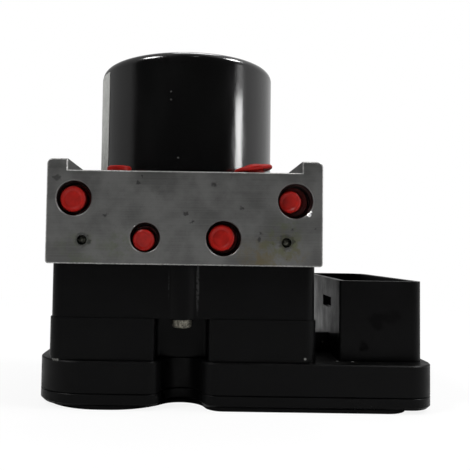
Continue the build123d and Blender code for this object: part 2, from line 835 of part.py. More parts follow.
def turn_bearing(seat, inner, outer, height):
    """Turn a plain bearing ring with broken outer edges."""
    turn(
        seat,
        [
            (inner, 0), (outer - edge_break, 0), (outer, edge_break), (outer, height - edge_break),
            (outer - edge_break, height), (inner, height),
        ],
    )


with BuildPart() as eccentric_bearing:
    turn_bearing(
        Plane(origin=(0, -eccentric_throw, ring_z + rest_gap)), eccentric_radius + slide_gap, eccentric_ring_radius,
        eccentric_ring_height - 2 * rest_gap,
    )
save(eccentric_bearing, "eccentric_bearing")
with BuildPart() as tail_bush:
    turn_bearing(
        level(chamber_floor_z - tail_bush_height), journal_radius + slide_gap, tail_bush_radius - seat_gap,
        tail_bush_height - rest_gap,
    )
save(tail_bush, "tail_bush")
with BuildPart() as front_bearing:
    turn_bearing(
        level(deck_z - front_bearing_height), shaft_radius + slide_gap, chamber_radius - seat_gap, front_bearing_height
    )
save(front_bearing, "front_bearing")
with BuildPart() as rear_bearing:
    turn_bearing(
        level(deck_z + seat_rim), journal_radius + slide_gap, rear_bearing_radius,
        rear_bearing_height - rest_gap,
    )
save(rear_bearing, "rear_bearing")

# Armature: slotted core, windings in the slots with their end turns, and the commutator
slot_end_radius = core_radius - slot_lip
slot_middle = (slot_inner_radius + slot_end_radius) / 2
slot_length = slot_end_radius - slot_inner_radius
with BuildPart() as armature_core:
    with BuildSketch(level(core_z)):
        Circle(core_radius)
        Circle(shaft_radius + seat_gap, mode=Mode.SUBTRACT)
        with PolarLocations(slot_middle, core_slots):
            Rectangle(slot_length, slot_width, mode=Mode.SUBTRACT)
        with PolarLocations(core_radius, core_slots):
            Rectangle(3 * slot_lip, slot_mouth, mode=Mode.SUBTRACT)
    extrude(amount=core_height)
save(armature_core, "armature_core")

with BuildPart() as armature_windings:
    with BuildSketch(level(core_z - winding_overhang)):
        with PolarLocations(slot_middle, core_slots):
            Rectangle(slot_length - 2 * slot_lining, slot_width - 2 * slot_lining)
    extrude(amount=core_height + 2 * winding_overhang)
    for z in (core_z - winding_overhang, core_z + core_height + slot_lining):
        with BuildSketch(level(z)):
            Circle(slot_end_radius - 1)
            Circle(slot_inner_radius + 1.6, mode=Mode.SUBTRACT)
        extrude(amount=winding_overhang - slot_lining)
save(armature_windings, "armature_windings")

with BuildPart() as commutator:
    with BuildSketch(level(deck_z + commutator_rise)):
        Circle(commutator_radius)
        Circle(shaft_radius + seat_gap, mode=Mode.SUBTRACT)
        with PolarLocations(commutator_radius, commutator_bars):
            Rectangle(1.6, 0.6, mode=Mode.SUBTRACT)
    extrude(amount=commutator_height)
save(commutator, "commutator")

# Brush gear: a plate with two holders, and in each a brush and its spring
plate_z = deck_z + rest_gap
holder_z = plate_z + brush_plate_height
brush_z = deck_z + commutator_rise + 0.4
brush_start = commutator_radius + rest_gap
brush_end = brush_start + brush_length
holder_start = commutator_radius + 1
holder_end = brush_end + brush_spring_length + holder_wall
wire_places = [(-contact_pin_spread, contact_y), (contact_pin_spread, contact_y)]
with BuildPart() as brush_plate:
    with BuildSketch(level(plate_z)):
        Circle(brush_plate_radius)
        Circle(holder_start, mode=Mode.SUBTRACT)
        with Locations(wire_places):
            Circle(contact_pin_radius + seat_gap, mode=Mode.SUBTRACT)
    extrude(amount=brush_plate_height)
    with BuildSketch(level(holder_z)):
        with Locations([(side * (holder_start + holder_end) / 2, 0) for side in (-1, 1)]):
            Rectangle(holder_end - holder_start, brush_width + 2 * holder_wall)
        Rectangle(2 * (holder_end - holder_wall), brush_width + 2 * seat_gap, mode=Mode.SUBTRACT)
    extrude(amount=brush_z + brush_height - holder_z)
save(brush_plate, "brush_plate")

with BuildPart() as brushes:
    with BuildSketch(level(brush_z)):
        with Locations([(side * (brush_start + brush_end) / 2, 0) for side in (-1, 1)]):
            Rectangle(brush_length, brush_width)
    extrude(amount=brush_height)
save(brushes, "brushes")

with BuildPart() as brush_springs:
    for side in (-1, 1):
        wind(
            facing(side * (brush_end + rest_gap), 0, brush_z + brush_height / 2, (side, 0, 0)),
            brush_spring_radius, brush_spring_wire,
            brush_spring_length - 2 * rest_gap, 3,
        )
save(brush_springs, "brush_springs")

# Motor wiring: a column through the block that carries two pins down to the circuit board
with BuildPart() as contact_column:
    with BuildSketch(level(block_z - contact_column_drop)):
        with Locations((0, contact_y)):
            Circle(contact_column_radius)
        with Locations(wire_places):
            Circle(contact_pin_radius + seat_gap, mode=Mode.SUBTRACT)
    extrude(amount=block_height + contact_column_drop)
save(contact_column, "contact_column")

board_top_z = board_z + board_height
with BuildPart() as motor_contacts:
    with BuildSketch(level(board_top_z)):
        with Locations(wire_places):
            Circle(contact_pin_radius)
    extrude(amount=holder_z + contact_pin_tip - board_top_z)
save(motor_contacts, "motor_contacts")


def controller_plan(inset, end_inset, front_left_corner, lip_radii, hollow):
    """The controller's plan moved inwards: a wavy notch in front and two deep ones behind, in the open sketch."""
    left = flange_left + inset
    right = flange_right - end_inset
    front = front_y + inset
    rear = flange_rear - inset
    corner = flange_corner_right - inset
    rear_corner = flange_corner_rear_left - inset
    with BuildLine() as outline:
        # The hollow's centre lies its own radius short of the notch's bottom. A lip's centre lies its
        # radius in from the front edge and both radii away from the hollow's centre.
        touches = []
        starts = []
        for side, lip in zip((-1, 1), lip_radii):
            drop = lip + hollow - notch_depth
            reach = sqrt((lip + hollow) ** 2 - drop ** 2)
            share = hollow / (lip + hollow)
            half_turn = atan2(reach, drop) / 2
            starts.append((front_screw_x + side * reach, front))
            touches.append((front_screw_x + side * reach * share, front + notch_depth - hollow + drop * share))
            knee = (
                front_screw_x + side * (reach - lip * sin(half_turn)), front + lip * (1 - cos(half_turn))
            )
            ThreePointArc(starts[-1], knee, touches[-1])
        ThreePointArc(touches[0], (front_screw_x, front + notch_depth), touches[1])
        Line(starts[0], (left + front_left_corner, front))
        CenterArc((left + front_left_corner, front + front_left_corner), front_left_corner, 180, 90)
        Line((left, front + front_left_corner), (left, rear - rear_corner))
        CenterArc((left + rear_corner, rear - rear_corner), rear_corner, 90, 90)
        Line((left + rear_corner, rear), (right - corner, rear))
        CenterArc((right - corner, rear - corner), corner, 0, 90)
        Line((right, rear - corner), (right, front + corner))
        CenterArc((right - corner, front + corner), corner, -90, 90)
        Line((right - corner, front), starts[1])
    make_face(outline.edges())
    radius = notch_radius + inset
    with Locations([(x, y - slot_depth_behind_screw + notch_radius) for x, y in screw_places[1:]]):
        Circle(radius, mode=Mode.SUBTRACT)
        Rectangle(2 * radius, rear_y + flange_reach_rear, align=(Align.CENTER, Align.MIN), mode=Mode.SUBTRACT)
    for side in (-1, 1):
        for edge in (-1, 1):
            mouth = (side * rear_screw_x + edge * radius, rear)
            fillet(vertices().sort_by_distance(mouth)[0], rear_notch_lip_radius - inset)


# Controller outline, shared by the housing's flange and the lid
with BuildSketch() as flange_outline:
    controller_plan(0, 0, flange_corner_front_left, (notch_lip_radius, notch_lip_radius), notch_radius)

# Shroud outline, with its left wall slightly off square
with BuildSketch() as shroud_outline:
    with BuildLine():
        Polyline(
            (shroud_left, shroud_front_y), (shroud_right, shroud_front_y), (shroud_right, shroud_rear_y),
            (shroud_left_rear, shroud_rear_y), close=True,
        )
    make_face()
    fillet(vertices().group_by(Axis.Y)[-1], shroud_rear_corner)
    fillet(vertices().group_by(Axis.Y)[0].sort_by(Axis.X)[-1], shroud_corner)
    fillet(vertices().group_by(Axis.Y)[0].sort_by(Axis.X)[0], shroud_front_left_corner)


def box_plan(margin, corner):
    """The upper box's plan, wider by the margin all round, in the open sketch."""
    RectangleRounded(2 * (box_half_width + margin), box_depth + 2 * margin, corner)


def screw_slots(margin, corner):
    """Cut slots from each controller screw out past the edge beside it, in the open sketch."""
    for x, y in screw_places:
        outward = y / abs(y)
        inner_end = y - outward * (slot_depth_behind_screw + margin)
        with Locations((x, inner_end + outward * block_depth / 2)):
            RectangleRounded(step_notch_width + 2 * margin, block_depth, corner, mode=Mode.SUBTRACT)


def pin_sections():
    """The sections of the connector's pins and of its two power blades, in the open sketch."""
    with Locations((pin_field_x, pin_field_y)):
        with GridLocations(pin_row_pitch, pin_pitch, pin_rows, pins_per_row):
            Rectangle(pin_side, pin_side)
    with Locations((pin_field_x, shroud_front_y + power_blade_place)):
        with GridLocations(power_blade_pitch, 1, 2, 1):
            Rectangle(power_blade_width, power_blade_thickness)


# Controller housing: moulded in one piece, hollow above and below its partition
roof_z = box_z + slot_roof
partition_under_z = coil_room_z - rest_gap - partition_height
with BuildPart() as ecu_housing:
    with BuildSketch(level(flange_z)):
        add(flange_outline.sketch)
    extrude(amount=flange_height)
    chamfer(faces().sort_by(Axis.Z)[-1].outer_wire().edges(), edge_break)
    chamfer(faces().sort_by(Axis.Z)[0].outer_wire().edges(), seam_break)
    with BuildSketch(level(step_z)):
        box_plan(step_lip, box_corner + step_lip)
        screw_slots(0, step_notch_corner)
        for x, y in screw_places:
            for flank in (-1, 1):
                mouth = (x + flank * step_notch_width / 2, y / abs(y) * (box_depth / 2 + step_lip))
                fillet(vertices().sort_by_distance(mouth)[0], step_mouth_fillet)
    extrude(amount=step_height)
    with BuildSketch(level(box_z)):
        box_plan(0, box_corner)
        with Locations(screw_places):
            Circle(screw_tube_radius)
        for x, y in screw_places:
            wall = y / abs(y) * box_depth / 2
            for flank in (-1, 1):
                meeting = (x + flank * sqrt(screw_tube_radius ** 2 - (wall - y) ** 2), wall)
                fillet(vertices().sort_by_distance(meeting)[0], screw_tube_fillet)
    extrude(amount=box_height)
    # Collars that the screw heads bear on
    with BuildSketch(level(box_z - screw_collar)):
        with Locations(screw_places):
            Circle(screw_head_radius + screw_collar_margin)
    extrude(amount=screw_collar)
    # Shroud and the web that joins it to the box
    with BuildSketch(level(step_z)):
        add(shroud_outline.sketch)
    extrude(amount=shroud_height)
    with BuildSketch(level(step_z)):
        with Locations(((box_half_width + shroud_left_rear) / 2, front_y + web_setback)):
            Rectangle(shroud_left_rear - box_half_width, web_thickness, align=(Align.CENTER, Align.MIN))
    extrude(amount=web_height)
    # Socket, open above, with a window in its left wall
    with BuildSketch(level(socket_floor_z)):
        add(shroud_outline.sketch)
        offset(amount=-shroud_wall, kind=Kind.INTERSECTION)
    extrude(amount=shroud_top_z - socket_floor_z, mode=Mode.SUBTRACT)
    with BuildSketch(Plane.YZ.offset(shroud_left - 2)):
        with Locations((shroud_front_y + window_start + window_length / 2, shroud_top_z - window_drop)):
            Rectangle(window_length, window_height)
    extrude(amount=(shroud_right - shroud_left) / 2, mode=Mode.SUBTRACT)
    # Coil room, open towards the block, with a roof kept over each slot and the screw tubes kept whole
    with BuildSketch(level(partition_under_z + partition_height)):
        box_plan(-box_wall, box_corner)
        screw_slots(shell_wall, step_notch_corner)
    extrude(amount=roof_z - partition_under_z - partition_height, mode=Mode.SUBTRACT)
    with BuildSketch(level(roof_z)):
        box_plan(-box_wall, box_corner)
        with Locations(screw_places):
            Circle(screw_tube_radius, mode=Mode.SUBTRACT)
    extrude(amount=block_z - roof_z, mode=Mode.SUBTRACT)
    # Board room, open towards the lid, and the space above it inside the step
    with BuildSketch(level(flange_z)):
        add(flange_outline.sketch)
        offset(amount=-shell_wall, kind=Kind.INTERSECTION)
        with Locations(post_places):
            Circle(post_radius, mode=Mode.SUBTRACT)
    extrude(amount=flange_height - shell_wall, mode=Mode.SUBTRACT)
    with BuildSketch(level(step_z - shell_wall)):
        box_plan(-box_wall, box_corner)
        screw_slots(shell_wall, step_notch_corner)
    extrude(amount=partition_under_z - step_z + shell_wall, mode=Mode.SUBTRACT)
    with BuildSketch(level(flange_z)):
        with Locations(post_places):
            Circle(post_radius)
    extrude(amount=board_top_z - flange_z, mode=Mode.SUBTRACT)
    # Holes for the screws, the motor contacts and the connector pins
    with BuildSketch(level(box_z - screw_collar)):
        with Locations(screw_places):
            Circle(screw_hole_radius)
    extrude(amount=box_height + screw_collar, mode=Mode.SUBTRACT)
    with BuildSketch(level(partition_under_z)):
        with Locations(wire_places):
            Circle(contact_pin_radius + seat_gap)
    extrude(amount=partition_height, mode=Mode.SUBTRACT)
    with BuildSketch(level(step_z - shell_wall)):
        pin_sections()
    extrude(amount=socket_floor_z - step_z + shell_wall, mode=Mode.SUBTRACT)
save(ecu_housing, "ecu_housing")

# Screws that hold the controller against the block, driven from below
with BuildPart() as ecu_screws:
    for x, y in screw_places:
        turn(
            Plane(origin=(x, y, box_z - screw_collar), x_dir=(1, 0, 0), z_dir=(0, 0, -1)),
            [
                (0, screw_head_height - 1.3), (1.5, screw_head_height - 1.3), (1.8, screw_head_height),
                (screw_head_radius - 0.5, screw_head_height), (screw_head_radius, screw_head_height - 0.5),
                (screw_head_radius, 0), (screw_shank_radius, 0), (screw_shank_radius, -screw_length),
                (0, -screw_length),
            ],
        )
save(ecu_screws, "ecu_screws")

# Lid with a raised rest plate below and a shallow tray inside
with BuildPart() as ecu_lid:
    with BuildSketch(level(lid_z)):
        add(flange_outline.sketch)
    extrude(amount=lid_height)
    chamfer(faces().sort_by(Axis.Z)[-1].outer_wire().edges(), seam_break)
    chamfer(faces().sort_by(Axis.Z)[0].outer_wire().edges(), lid_edge_break)
    with BuildSketch(level(0)):
        controller_plan(
            plate_inset, plate_end_inset, plate_corner_front_left, (plate_left_lip_radius, plate_right_lip_radius),
            plate_notch_radius,
        )
    extrude(amount=lid_z)
    with BuildSketch(level(lid_z + lid_floor)):
        add(flange_outline.sketch)
        offset(amount=-2 * shell_wall, kind=Kind.INTERSECTION)
    extrude(amount=lid_height - lid_floor, mode=Mode.SUBTRACT)
save(ecu_lid, "ecu_lid")

# Circuit board, held against the posts under the flange's roof
with BuildPart() as circuit_board:
    with BuildSketch(level(board_z)):
        add(flange_outline.sketch)
        offset(amount=-board_inset, kind=Kind.INTERSECTION)
    extrude(amount=board_height)
save(circuit_board, "circuit_board")

with BuildPart() as connector_pins:
    with BuildSketch(level(board_top_z)):
        pin_sections()
    extrude(amount=socket_floor_z + pin_height - board_top_z)
save(connector_pins, "connector_pins")
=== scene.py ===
"""Finishes, small surface parts and a plain studio for an anti-lock brake unit that stands on its lid.

The drilled block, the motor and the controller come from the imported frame. Lengths in the frame, in the
settings and of the lamps are in metres, the other constants are in millimetres. X runs to the right along the
block, Y to the rear and Z up. The brake line ports face -Y.
"""

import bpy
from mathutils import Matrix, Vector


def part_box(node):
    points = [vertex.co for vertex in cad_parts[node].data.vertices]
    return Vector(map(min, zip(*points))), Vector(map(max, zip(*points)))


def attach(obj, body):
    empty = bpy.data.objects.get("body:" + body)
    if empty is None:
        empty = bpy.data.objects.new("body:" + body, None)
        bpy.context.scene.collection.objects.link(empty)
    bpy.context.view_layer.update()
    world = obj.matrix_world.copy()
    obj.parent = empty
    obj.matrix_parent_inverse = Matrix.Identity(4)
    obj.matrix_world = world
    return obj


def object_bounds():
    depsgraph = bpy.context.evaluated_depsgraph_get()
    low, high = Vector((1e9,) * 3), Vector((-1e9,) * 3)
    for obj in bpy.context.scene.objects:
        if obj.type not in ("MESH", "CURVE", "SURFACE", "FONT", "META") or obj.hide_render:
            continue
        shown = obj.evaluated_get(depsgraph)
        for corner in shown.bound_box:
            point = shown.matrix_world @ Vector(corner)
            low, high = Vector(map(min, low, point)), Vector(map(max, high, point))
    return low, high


bl_info = {
    "name": "Brake Unit Finish",
    "version": (1, 0, 0),
    "blender": (4, 5, 0),
    "location": "3D View > Sidebar > Brake Unit",
    "description": "Gives a brake unit its finishes, its port threads and screw recesses, and a studio",
    "category": "Object",
}

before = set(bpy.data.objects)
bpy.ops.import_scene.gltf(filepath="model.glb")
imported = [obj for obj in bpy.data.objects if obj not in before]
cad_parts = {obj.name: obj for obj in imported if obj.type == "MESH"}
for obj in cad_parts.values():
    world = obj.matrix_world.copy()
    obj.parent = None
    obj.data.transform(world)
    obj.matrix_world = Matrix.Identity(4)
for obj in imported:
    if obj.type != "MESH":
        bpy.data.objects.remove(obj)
rest_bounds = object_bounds()

from math import cos, pi, radians, sin

import bpy
import numpy as np
from bpy.props import FloatProperty, FloatVectorProperty, IntProperty, PointerProperty
from mathutils import Matrix, Vector

PER_MM = 1000.0
MM = 0.001

block_low, block_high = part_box("valve_block")
can_low, can_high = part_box("motor_can")

# The block's front face and its foot, in millimetres
FRONT = block_low.y * PER_MM
FOOT = block_low.z * PER_MM

# Ports in the front face: across, up from the block's foot, and radius of the thread's core
PORTS = ((-38.85, 22.95, 5.55), (38.85, 22.95, 5.55), (-13.75, 9.5, 4.65), (13.75, 9.5, 5.55))
# How far a port's rim reaches beyond that radius, and the colour of the painted shade in the bores, tinged red
# by old fluid and by a painted reflection of the red plugs
PORT_RIM = 1.6
BORE_SHADE_COLOUR = (0.03, 0.014, 0.013)
# Painted glints, white highlights on the ports' rims: across and up as above, and radius
RIM_GLINTS = ((43.6, 18.2, 0.6), (44.3, 19.2, 0.2), (-17.3, 13.2, 0.2))

# Threaded holes for the bracket in the rear and left faces
BRACKET_HOLE_X = 38.0
BRACKET_HOLE_HEIGHT = 16.5
BRACKET_HOLE_RADIUS = 2.5
SIDE_HOLE_Y = 22.0

# Where the ports' threads and the bracket holes' threads start and end, down from the mouth
PORT_THREAD = (4.4, 6.2)
BRACKET_THREAD = (0.9, 11.4)

# Pits and smudges that show most on the block's front: across, up from the floor, and width of the dark core
PITS = (
    (-44.9, 80.4, 1.7), (-16.5, 78.9, 0.7), (10.3, 79.1, 0.6), (-27.7, 67.7, 0.6), (0.6, 68.6, 0.7),
    (2.9, 65.3, 0.6), (20.0, 70.8, 0.6), (38.0, 63.2, 0.8), (26.9, 61.9, 0.6), (26.0, 59.9, 0.6),
    (-33.2, 57.9, 1.1), (38.0, 58.9, 1.2),
)
# Dried fluid on the block's front: across, up, radius, strength, and whether it is of the greenish kind
STAINS = (
    (33.0, 54.0, 6.0, 0.6, False), (24.0, 53.0, 3.0, 0.4, False), (34.0, 60.0, 3.5, 0.6, True),
    (-36.0, 55.0, 5.0, 0.35, True), (-23.0, 57.0, 2.0, 0.5, True),
)
# How far the ball plugs lie to either side of the middle
BALL_PLUG_X = 35.8
# Dust on the can and bright crumbs on the controller, the last three of them a painted highlight streak along
# the flange's left front corner, as X, Y and Z
DUST = ((-5.6, -34.5, 113.3), (-5.6, -34.5, 110.2), (-2.7, -34.9, 89.1))
CRUMBS_AND_GLINT_STREAK = (
    (42.9, -39.0, 18.2), (55.5, -33.4, 16.7), (60.8, -34.2, 16.7), (55.0, -12.0, 20.4), (-45.3, -38.0, 16.7),
    (-44.5, -38.4, 16.7), (-43.7, -38.8, 16.7),
)
# Painted highlight lines down the front screw tube: across and half width, then their depth and middle height
TUBE_HIGHLIGHTS = ((-5.2, 0.2), (3.6, 0.15), (5.0, 0.45))
TUBE_FRONT = -36.0
TUBE_MIDDLE = 43.0
# Where the shroud's left wall starts and ends across
SHROUD_WALL = (61.0, 65.5)
# Dull smudges on the shroud's front: across, up, radius and softness, then the depth of that front
SMUDGES = ((69.6, 31.5, 2.2, 1.8), (76.5, 33.2, 2.0, 1.5), (73.0, 32.0, 1.0, 1.5), (64.7, 22.2, 0.7, 1.5))
SHROUD_FRONT = -33.5

# Screw recesses: node, the way the heads face, recess pocket's radius and depth, slot
RECESSES = (
    ("ecu_screws", (0.0, 0.0, -1.0), 1.8, 1.25, "bright_steel"),
    ("motor_screws", (0.0, 0.0, 1.0), 2.1, 1.35, "screw_steel"),
)
# The recess's radius as a share of its pocket's, and a reach wider than a screw head
RECESS_SHARE = 0.78
HEAD_REACH = 9.0

# Lamps: name, whether it faces the can's middle, azimuth and rise in degrees, distance and size in metres,
# and the setting with its power
LAMPS = (
    ("key_left", False, -62.0, 52.0, 1.28, (0.34, 0.26), "key_power"),
    ("key_right", False, 84.0, 52.0, 1.28, (0.30, 0.22), "key_power"),
    ("ceiling_lamp", False, 170.0, 68.0, 1.2, (0.40, 0.30), "ceiling_power"),
    ("front_glint", False, 14.0, 52.0, 1.28, (0.12, 0.08), "glint_power"),
    ("strip_lamp", True, 71.0, 9.5, 0.7, (0.125, 0.12), "strip_power"),
    ("strip_end", True, 71.0, 19.0, 0.7, (0.095, 0.05), "strip_end_power"),
)


def colour_property(name, description, default):
    """A colour that a user can change."""
    return FloatVectorProperty(
        name=name, description=description, default=default, subtype="COLOR", size=3, min=0.0, max=1.0
    )


def length_property(name, description, default):
    """A length that a user can change."""
    return FloatProperty(
        name=name, description=description, default=default, unit="LENGTH", subtype="DISTANCE", min=0.0,
        precision=5,
    )


def power_property(name, description, default):
    """A lamp's power that a user can change."""
    return FloatProperty(name=name, description=description, default=default, unit="POWER")


def angle_property(name, description, default):
    """An angle that a user can change."""
    return FloatProperty(
        name=name, description=description, default=default, unit="ROTATION", subtype="ANGLE"
    )


class BrakeUnitColours(bpy.types.PropertyGroup):
    """Base colours of the finishes that show from outside."""

    block: colour_property("Block", "Milled aluminium of the valve block", (0.125, 0.125, 0.122))
    stain: colour_property("Stain", "Dried brake fluid on the block", (0.13, 0.105, 0.05))
    can: colour_property("Can", "Gloss paint of the motor can", (0.0025, 0.0025, 0.0025))
    label: colour_property("Label", "Film of the motor's label", (0.43, 0.435, 0.415))
    housing: colour_property("Housing", "Plastic of the controller housing", (0.0013, 0.0013, 0.0014))
    plug: colour_property("Plugs", "Plastic of the port plugs", (0.33, 0.007, 0.004))


class BrakeUnitThreads(bpy.types.PropertyGroup):
    """Sizes of the threads in the ports and holes."""

    pitch: length_property("Pitch", "Rise of a thread over one turn", 0.001)
    ridge: length_property("Ridge", "How far a thread stands into its bore", 0.00028)


class BrakeUnitDrives(bpy.types.PropertyGroup):
    """Shape of the six-lobed recesses in the screw heads."""

    lobes: IntProperty(name="Lobes", description="Number of lobes of a recess", default=6, min=3, max=12)
    lobe_depth: FloatProperty(
        name="Lobe depth", description="Lobe height as a share of the recess's radius", default=0.16,
        min=0.0, max=0.4,
    )


class BrakeUnitStudio(bpy.types.PropertyGroup):
    """Camera and light."""

    lens: FloatProperty(
        name="Lens", description="Focal length on a 36 mm frame", default=45.957, unit="CAMERA", min=1.0
    )
    camera_place: FloatVectorProperty(
        name="Camera place", description="Where the camera stands", default=(0.001509, -0.25044, 0.05558),
        subtype="TRANSLATION", unit="LENGTH", precision=5,
    )
    camera_rise: angle_property("Camera rise", "How far the camera looks up", 0.0431)
    camera_roll: angle_property("Camera roll", "How far the camera leans", 0.015)
    shift: FloatVectorProperty(
        name="Shift", description="Sideways and upward shift of the frame", default=(0.0985, -0.0223), size=2,
        precision=4,
    )
    key_power: power_property("Key power", "Power of each large lamp", 9.0)
    ceiling_power: power_property("Ceiling power", "Power of the lamp above", 3.0)
    glint_power: power_property("Glint power", "Power of the tiny front lamp", 0.12)
    strip_power: power_property("Strip power", "Power of the lamp that the can mirrors", 0.72)
    strip_end_power: power_property("Strip end power", "Power of the lamp just above it", 0.025)
    fill_front: FloatProperty(name="Front fill", description="Light from the camera's side", default=0.02)
    fill_left: FloatProperty(name="Left fill", description="Backdrop light from the left", default=0.36)
    fill_right: FloatProperty(name="Right fill", description="Backdrop light from the right", default=0.7)


class BrakeUnitSettings(bpy.types.PropertyGroup):
    """Everything that the panel shows."""

    colours: PointerProperty(type=BrakeUnitColours)
    threads: PointerProperty(type=BrakeUnitThreads)
    drives: PointerProperty(type=BrakeUnitDrives)
    studio: PointerProperty(type=BrakeUnitStudio)


def add_node(tree, kind, inputs, **settings):
    """A shader node with its settings, its socket values and its links."""
    node = tree.nodes.new(kind)
    for key, value in settings.items():
        setattr(node, key, value)
    for key, value in inputs.items():
        if isinstance(value, bpy.types.NodeSocket):
            tree.links.new(value, node.inputs[key])
        else:
            node.inputs[key].default_value = value
    return node


def place(tree, scale=(1.0, 1.0, 1.0), centre=(0.0, 0.0, 0.0)):
    """Object coordinates in millimetres from a centre given in metres, each axis times its own scale."""
    coordinates = add_node(tree, "ShaderNodeTexCoord", {})
    factors = [PER_MM * s for s in scale]
    shift = [-f * c for f, c in zip(factors, centre)]
    mapping = add_node(
        tree, "ShaderNodeMapping",
        {"Vector": coordinates.outputs["Object"], "Scale": factors, "Location": shift},
    )
    return mapping.outputs["Vector"]


def noise(tree, vector, scale, detail=3.0, roughness=0.55, distortion=0.0):
    """A cloudy value about 0.5, with as many grains a millimetre as the scale."""
    inputs = {
        "Vector": vector, "Scale": scale, "Detail": detail, "Roughness": roughness, "Distortion": distortion,
    }
    return add_node(tree, "ShaderNodeTexNoise", inputs).outputs["Fac"]


def specks(tree, vector, scale, radius, share):
    """One at scattered points, falling to nothing at the radius, given as a share of the cell.

    Only a share of the cells has a speck, and its radius shrinks evenly towards nothing over that share.
    """
    cells = add_node(tree, "ShaderNodeTexVoronoi", {"Vector": vector, "Scale": scale})
    chance = add_node(tree, "ShaderNodeSeparateColor", {"Color": cells.outputs["Color"]}).outputs["Red"]
    size = add_node(
        tree, "ShaderNodeMapRange", {"Value": chance, "From Max": share, "To Min": radius, "To Max": 0.0}
    )
    depth = reckon(tree, "SUBTRACT", size.outputs["Result"], cells.outputs["Distance"])
    return remap(tree, depth, 0.0, 0.4 * radius)


def remap(tree, value, low, high, to_low=0.0, to_high=1.0):
    """The value, stretched from one range to another and held at the ends."""
    inputs = {"Value": value, "From Min": low, "From Max": high, "To Min": to_low, "To Max": to_high}
    return add_node(tree, "ShaderNodeMapRange", inputs, interpolation_type="SMOOTHSTEP").outputs["Result"]


def reckon(tree, operation, first, second):
    """Two values put together by one sum."""
    node = add_node(tree, "ShaderNodeMath", {0: first, 1: second}, operation=operation)
    return node.outputs["Value"]


def times(tree, *values):
    """The product of several values."""
    product = values[0]
    for value in values[1:]:
        product = reckon(tree, "MULTIPLY", product, value)
    return product


def largest(tree, values):
    """The largest of several values, never below nothing."""
    highest = 0.0
    for value in values:
        highest = reckon(tree, "MAXIMUM", highest, value)
    return highest


def rest_of(tree, value):
    """What is missing from the value to one."""
    return reckon(tree, "SUBTRACT", 1.0, value)


def part_of(tree, vector, axis):
    """The part of a vector that lies along an axis."""
    return add_node(tree, "ShaderNodeSeparateXYZ", {"Vector": vector}).outputs[axis]


def blend(tree, factor, first, second):
    """A colour between two, by the factor."""
    node = add_node(tree, "ShaderNodeMix", {"Factor": factor}, data_type="RGBA")
    for socket, value in ((node.inputs[6], first), (node.inputs[7], second)):
        if isinstance(value, bpy.types.NodeSocket):
            tree.links.new(value, socket)
        else:
            socket.default_value = (*value, 1.0)
    return node.outputs[2]


def spot(tree, vector, centre, radius, softness):
    """One inside a ball about the centre, in millimetres, fading over the softness."""
    gap = add_node(tree, "ShaderNodeVectorMath", {0: vector, 1: centre}, operation="DISTANCE")
    return remap(tree, gap.outputs["Value"], radius + softness, radius)


def ragged_place(tree, fineness, reach):
    """Object coordinates in millimetres, pushed about by clouds by up to half the reach."""
    plain = place(tree)
    clouds = add_node(tree, "ShaderNodeTexNoise", {"Vector": plain, "Scale": fineness, "Detail": 4.0})
    offset = add_node(
        tree, "ShaderNodeVectorMath", {0: clouds.outputs["Color"], 1: (0.5, 0.5, 0.5)}, operation="SUBTRACT"
    )
    moved = add_node(
        tree, "ShaderNodeVectorMath", {0: offset.outputs["Vector"], 1: (reach, reach, reach), 2: plain},
        operation="MULTIPLY_ADD",
    )
    return moved.outputs["Vector"]


def facing_share(tree, axis):
    """How squarely the surface faces along an axis, either way, from 0 to 1."""
    geometry = add_node(tree, "ShaderNodeNewGeometry", {})
    part = part_of(tree, geometry.outputs["Normal"], axis)
    return add_node(tree, "ShaderNodeMath", {0: part}, operation="ABSOLUTE").outputs["Value"]


def depth_behind_front(tree):
    """How far a point lies behind the block's front face, in millimetres."""
    return part_of(tree, place(tree, centre=(0.0, block_low.y, 0.0)), "Y")


def bump(tree, height, depth):
    """A normal from a height, where the depth is how far a height of one stands out, in metres."""
    node = add_node(tree, "ShaderNodeBump", {"Height": height, "Distance": depth, "Strength": 1.0})
    return node.outputs["Normal"]


def new_finish(name, **values):
    """A material with its plain socket values, its node tree and its surface shader."""
    material = bpy.data.materials.new(name)
    material.use_nodes = True
    shader = material.node_tree.nodes["Principled BSDF"]
    for key, value in values.items():
        shader.inputs[key.replace("_", " ")].default_value = value
    return material, material.node_tree, shader


def link(tree, shader, **sockets):
    """Feed the shader's sockets."""
    for key, socket in sockets.items():
        tree.links.new(socket, shader.inputs[key.replace("_", " ")])


def shade(colour, factor):
    """The colour, lighter or darker by a factor."""
    return tuple(min(1.0, part * factor) for part in colour)


def dress(material, *names):
    """Give the frame's nodes a material."""
    for name in names:
        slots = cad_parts[name].material_slots
        if len(slots) == 0:
            raise RuntimeError(f"node {name} has no material slot")
        for slot in slots:
            slot.material = material


def cutting_lines(tree):
    """Fine level lines on the upright faces, and fine lines along the block on the level ones."""
    upright = noise(tree, place(tree, (0.012, 0.012, 5.0)), 1.0, detail=2.0)
    flat = noise(tree, place(tree, (0.012, 5.0, 0.012)), 1.0, detail=2.0)
    level_face = remap(tree, facing_share(tree, "Z"), 0.6, 0.8)
    return reckon(tree, "ADD", times(tree, flat, level_face), times(tree, upright, rest_of(tree, level_face)))


def stained(tree, tone, stain):
    """The tone under dried fluid: yellowish brown, or greenish round the ball plugs and low on the left."""
    greenish = (stain[0] * 0.75, stain[1] * 1.1, stain[2] * 1.3)
    ragged = ragged_place(tree, 0.16, 9.0)
    smeared = remap(tree, noise(tree, place(tree), 0.3, detail=6.0, roughness=0.7), 0.42, 0.62)
    for across, height, radius, strength, is_greenish in STAINS:
        patch = spot(tree, ragged, (across, FRONT, height), radius, 5.0)
        tone = blend(tree, times(tree, patch, smeared, strength), tone, greenish if is_greenish else stain)
    return tone


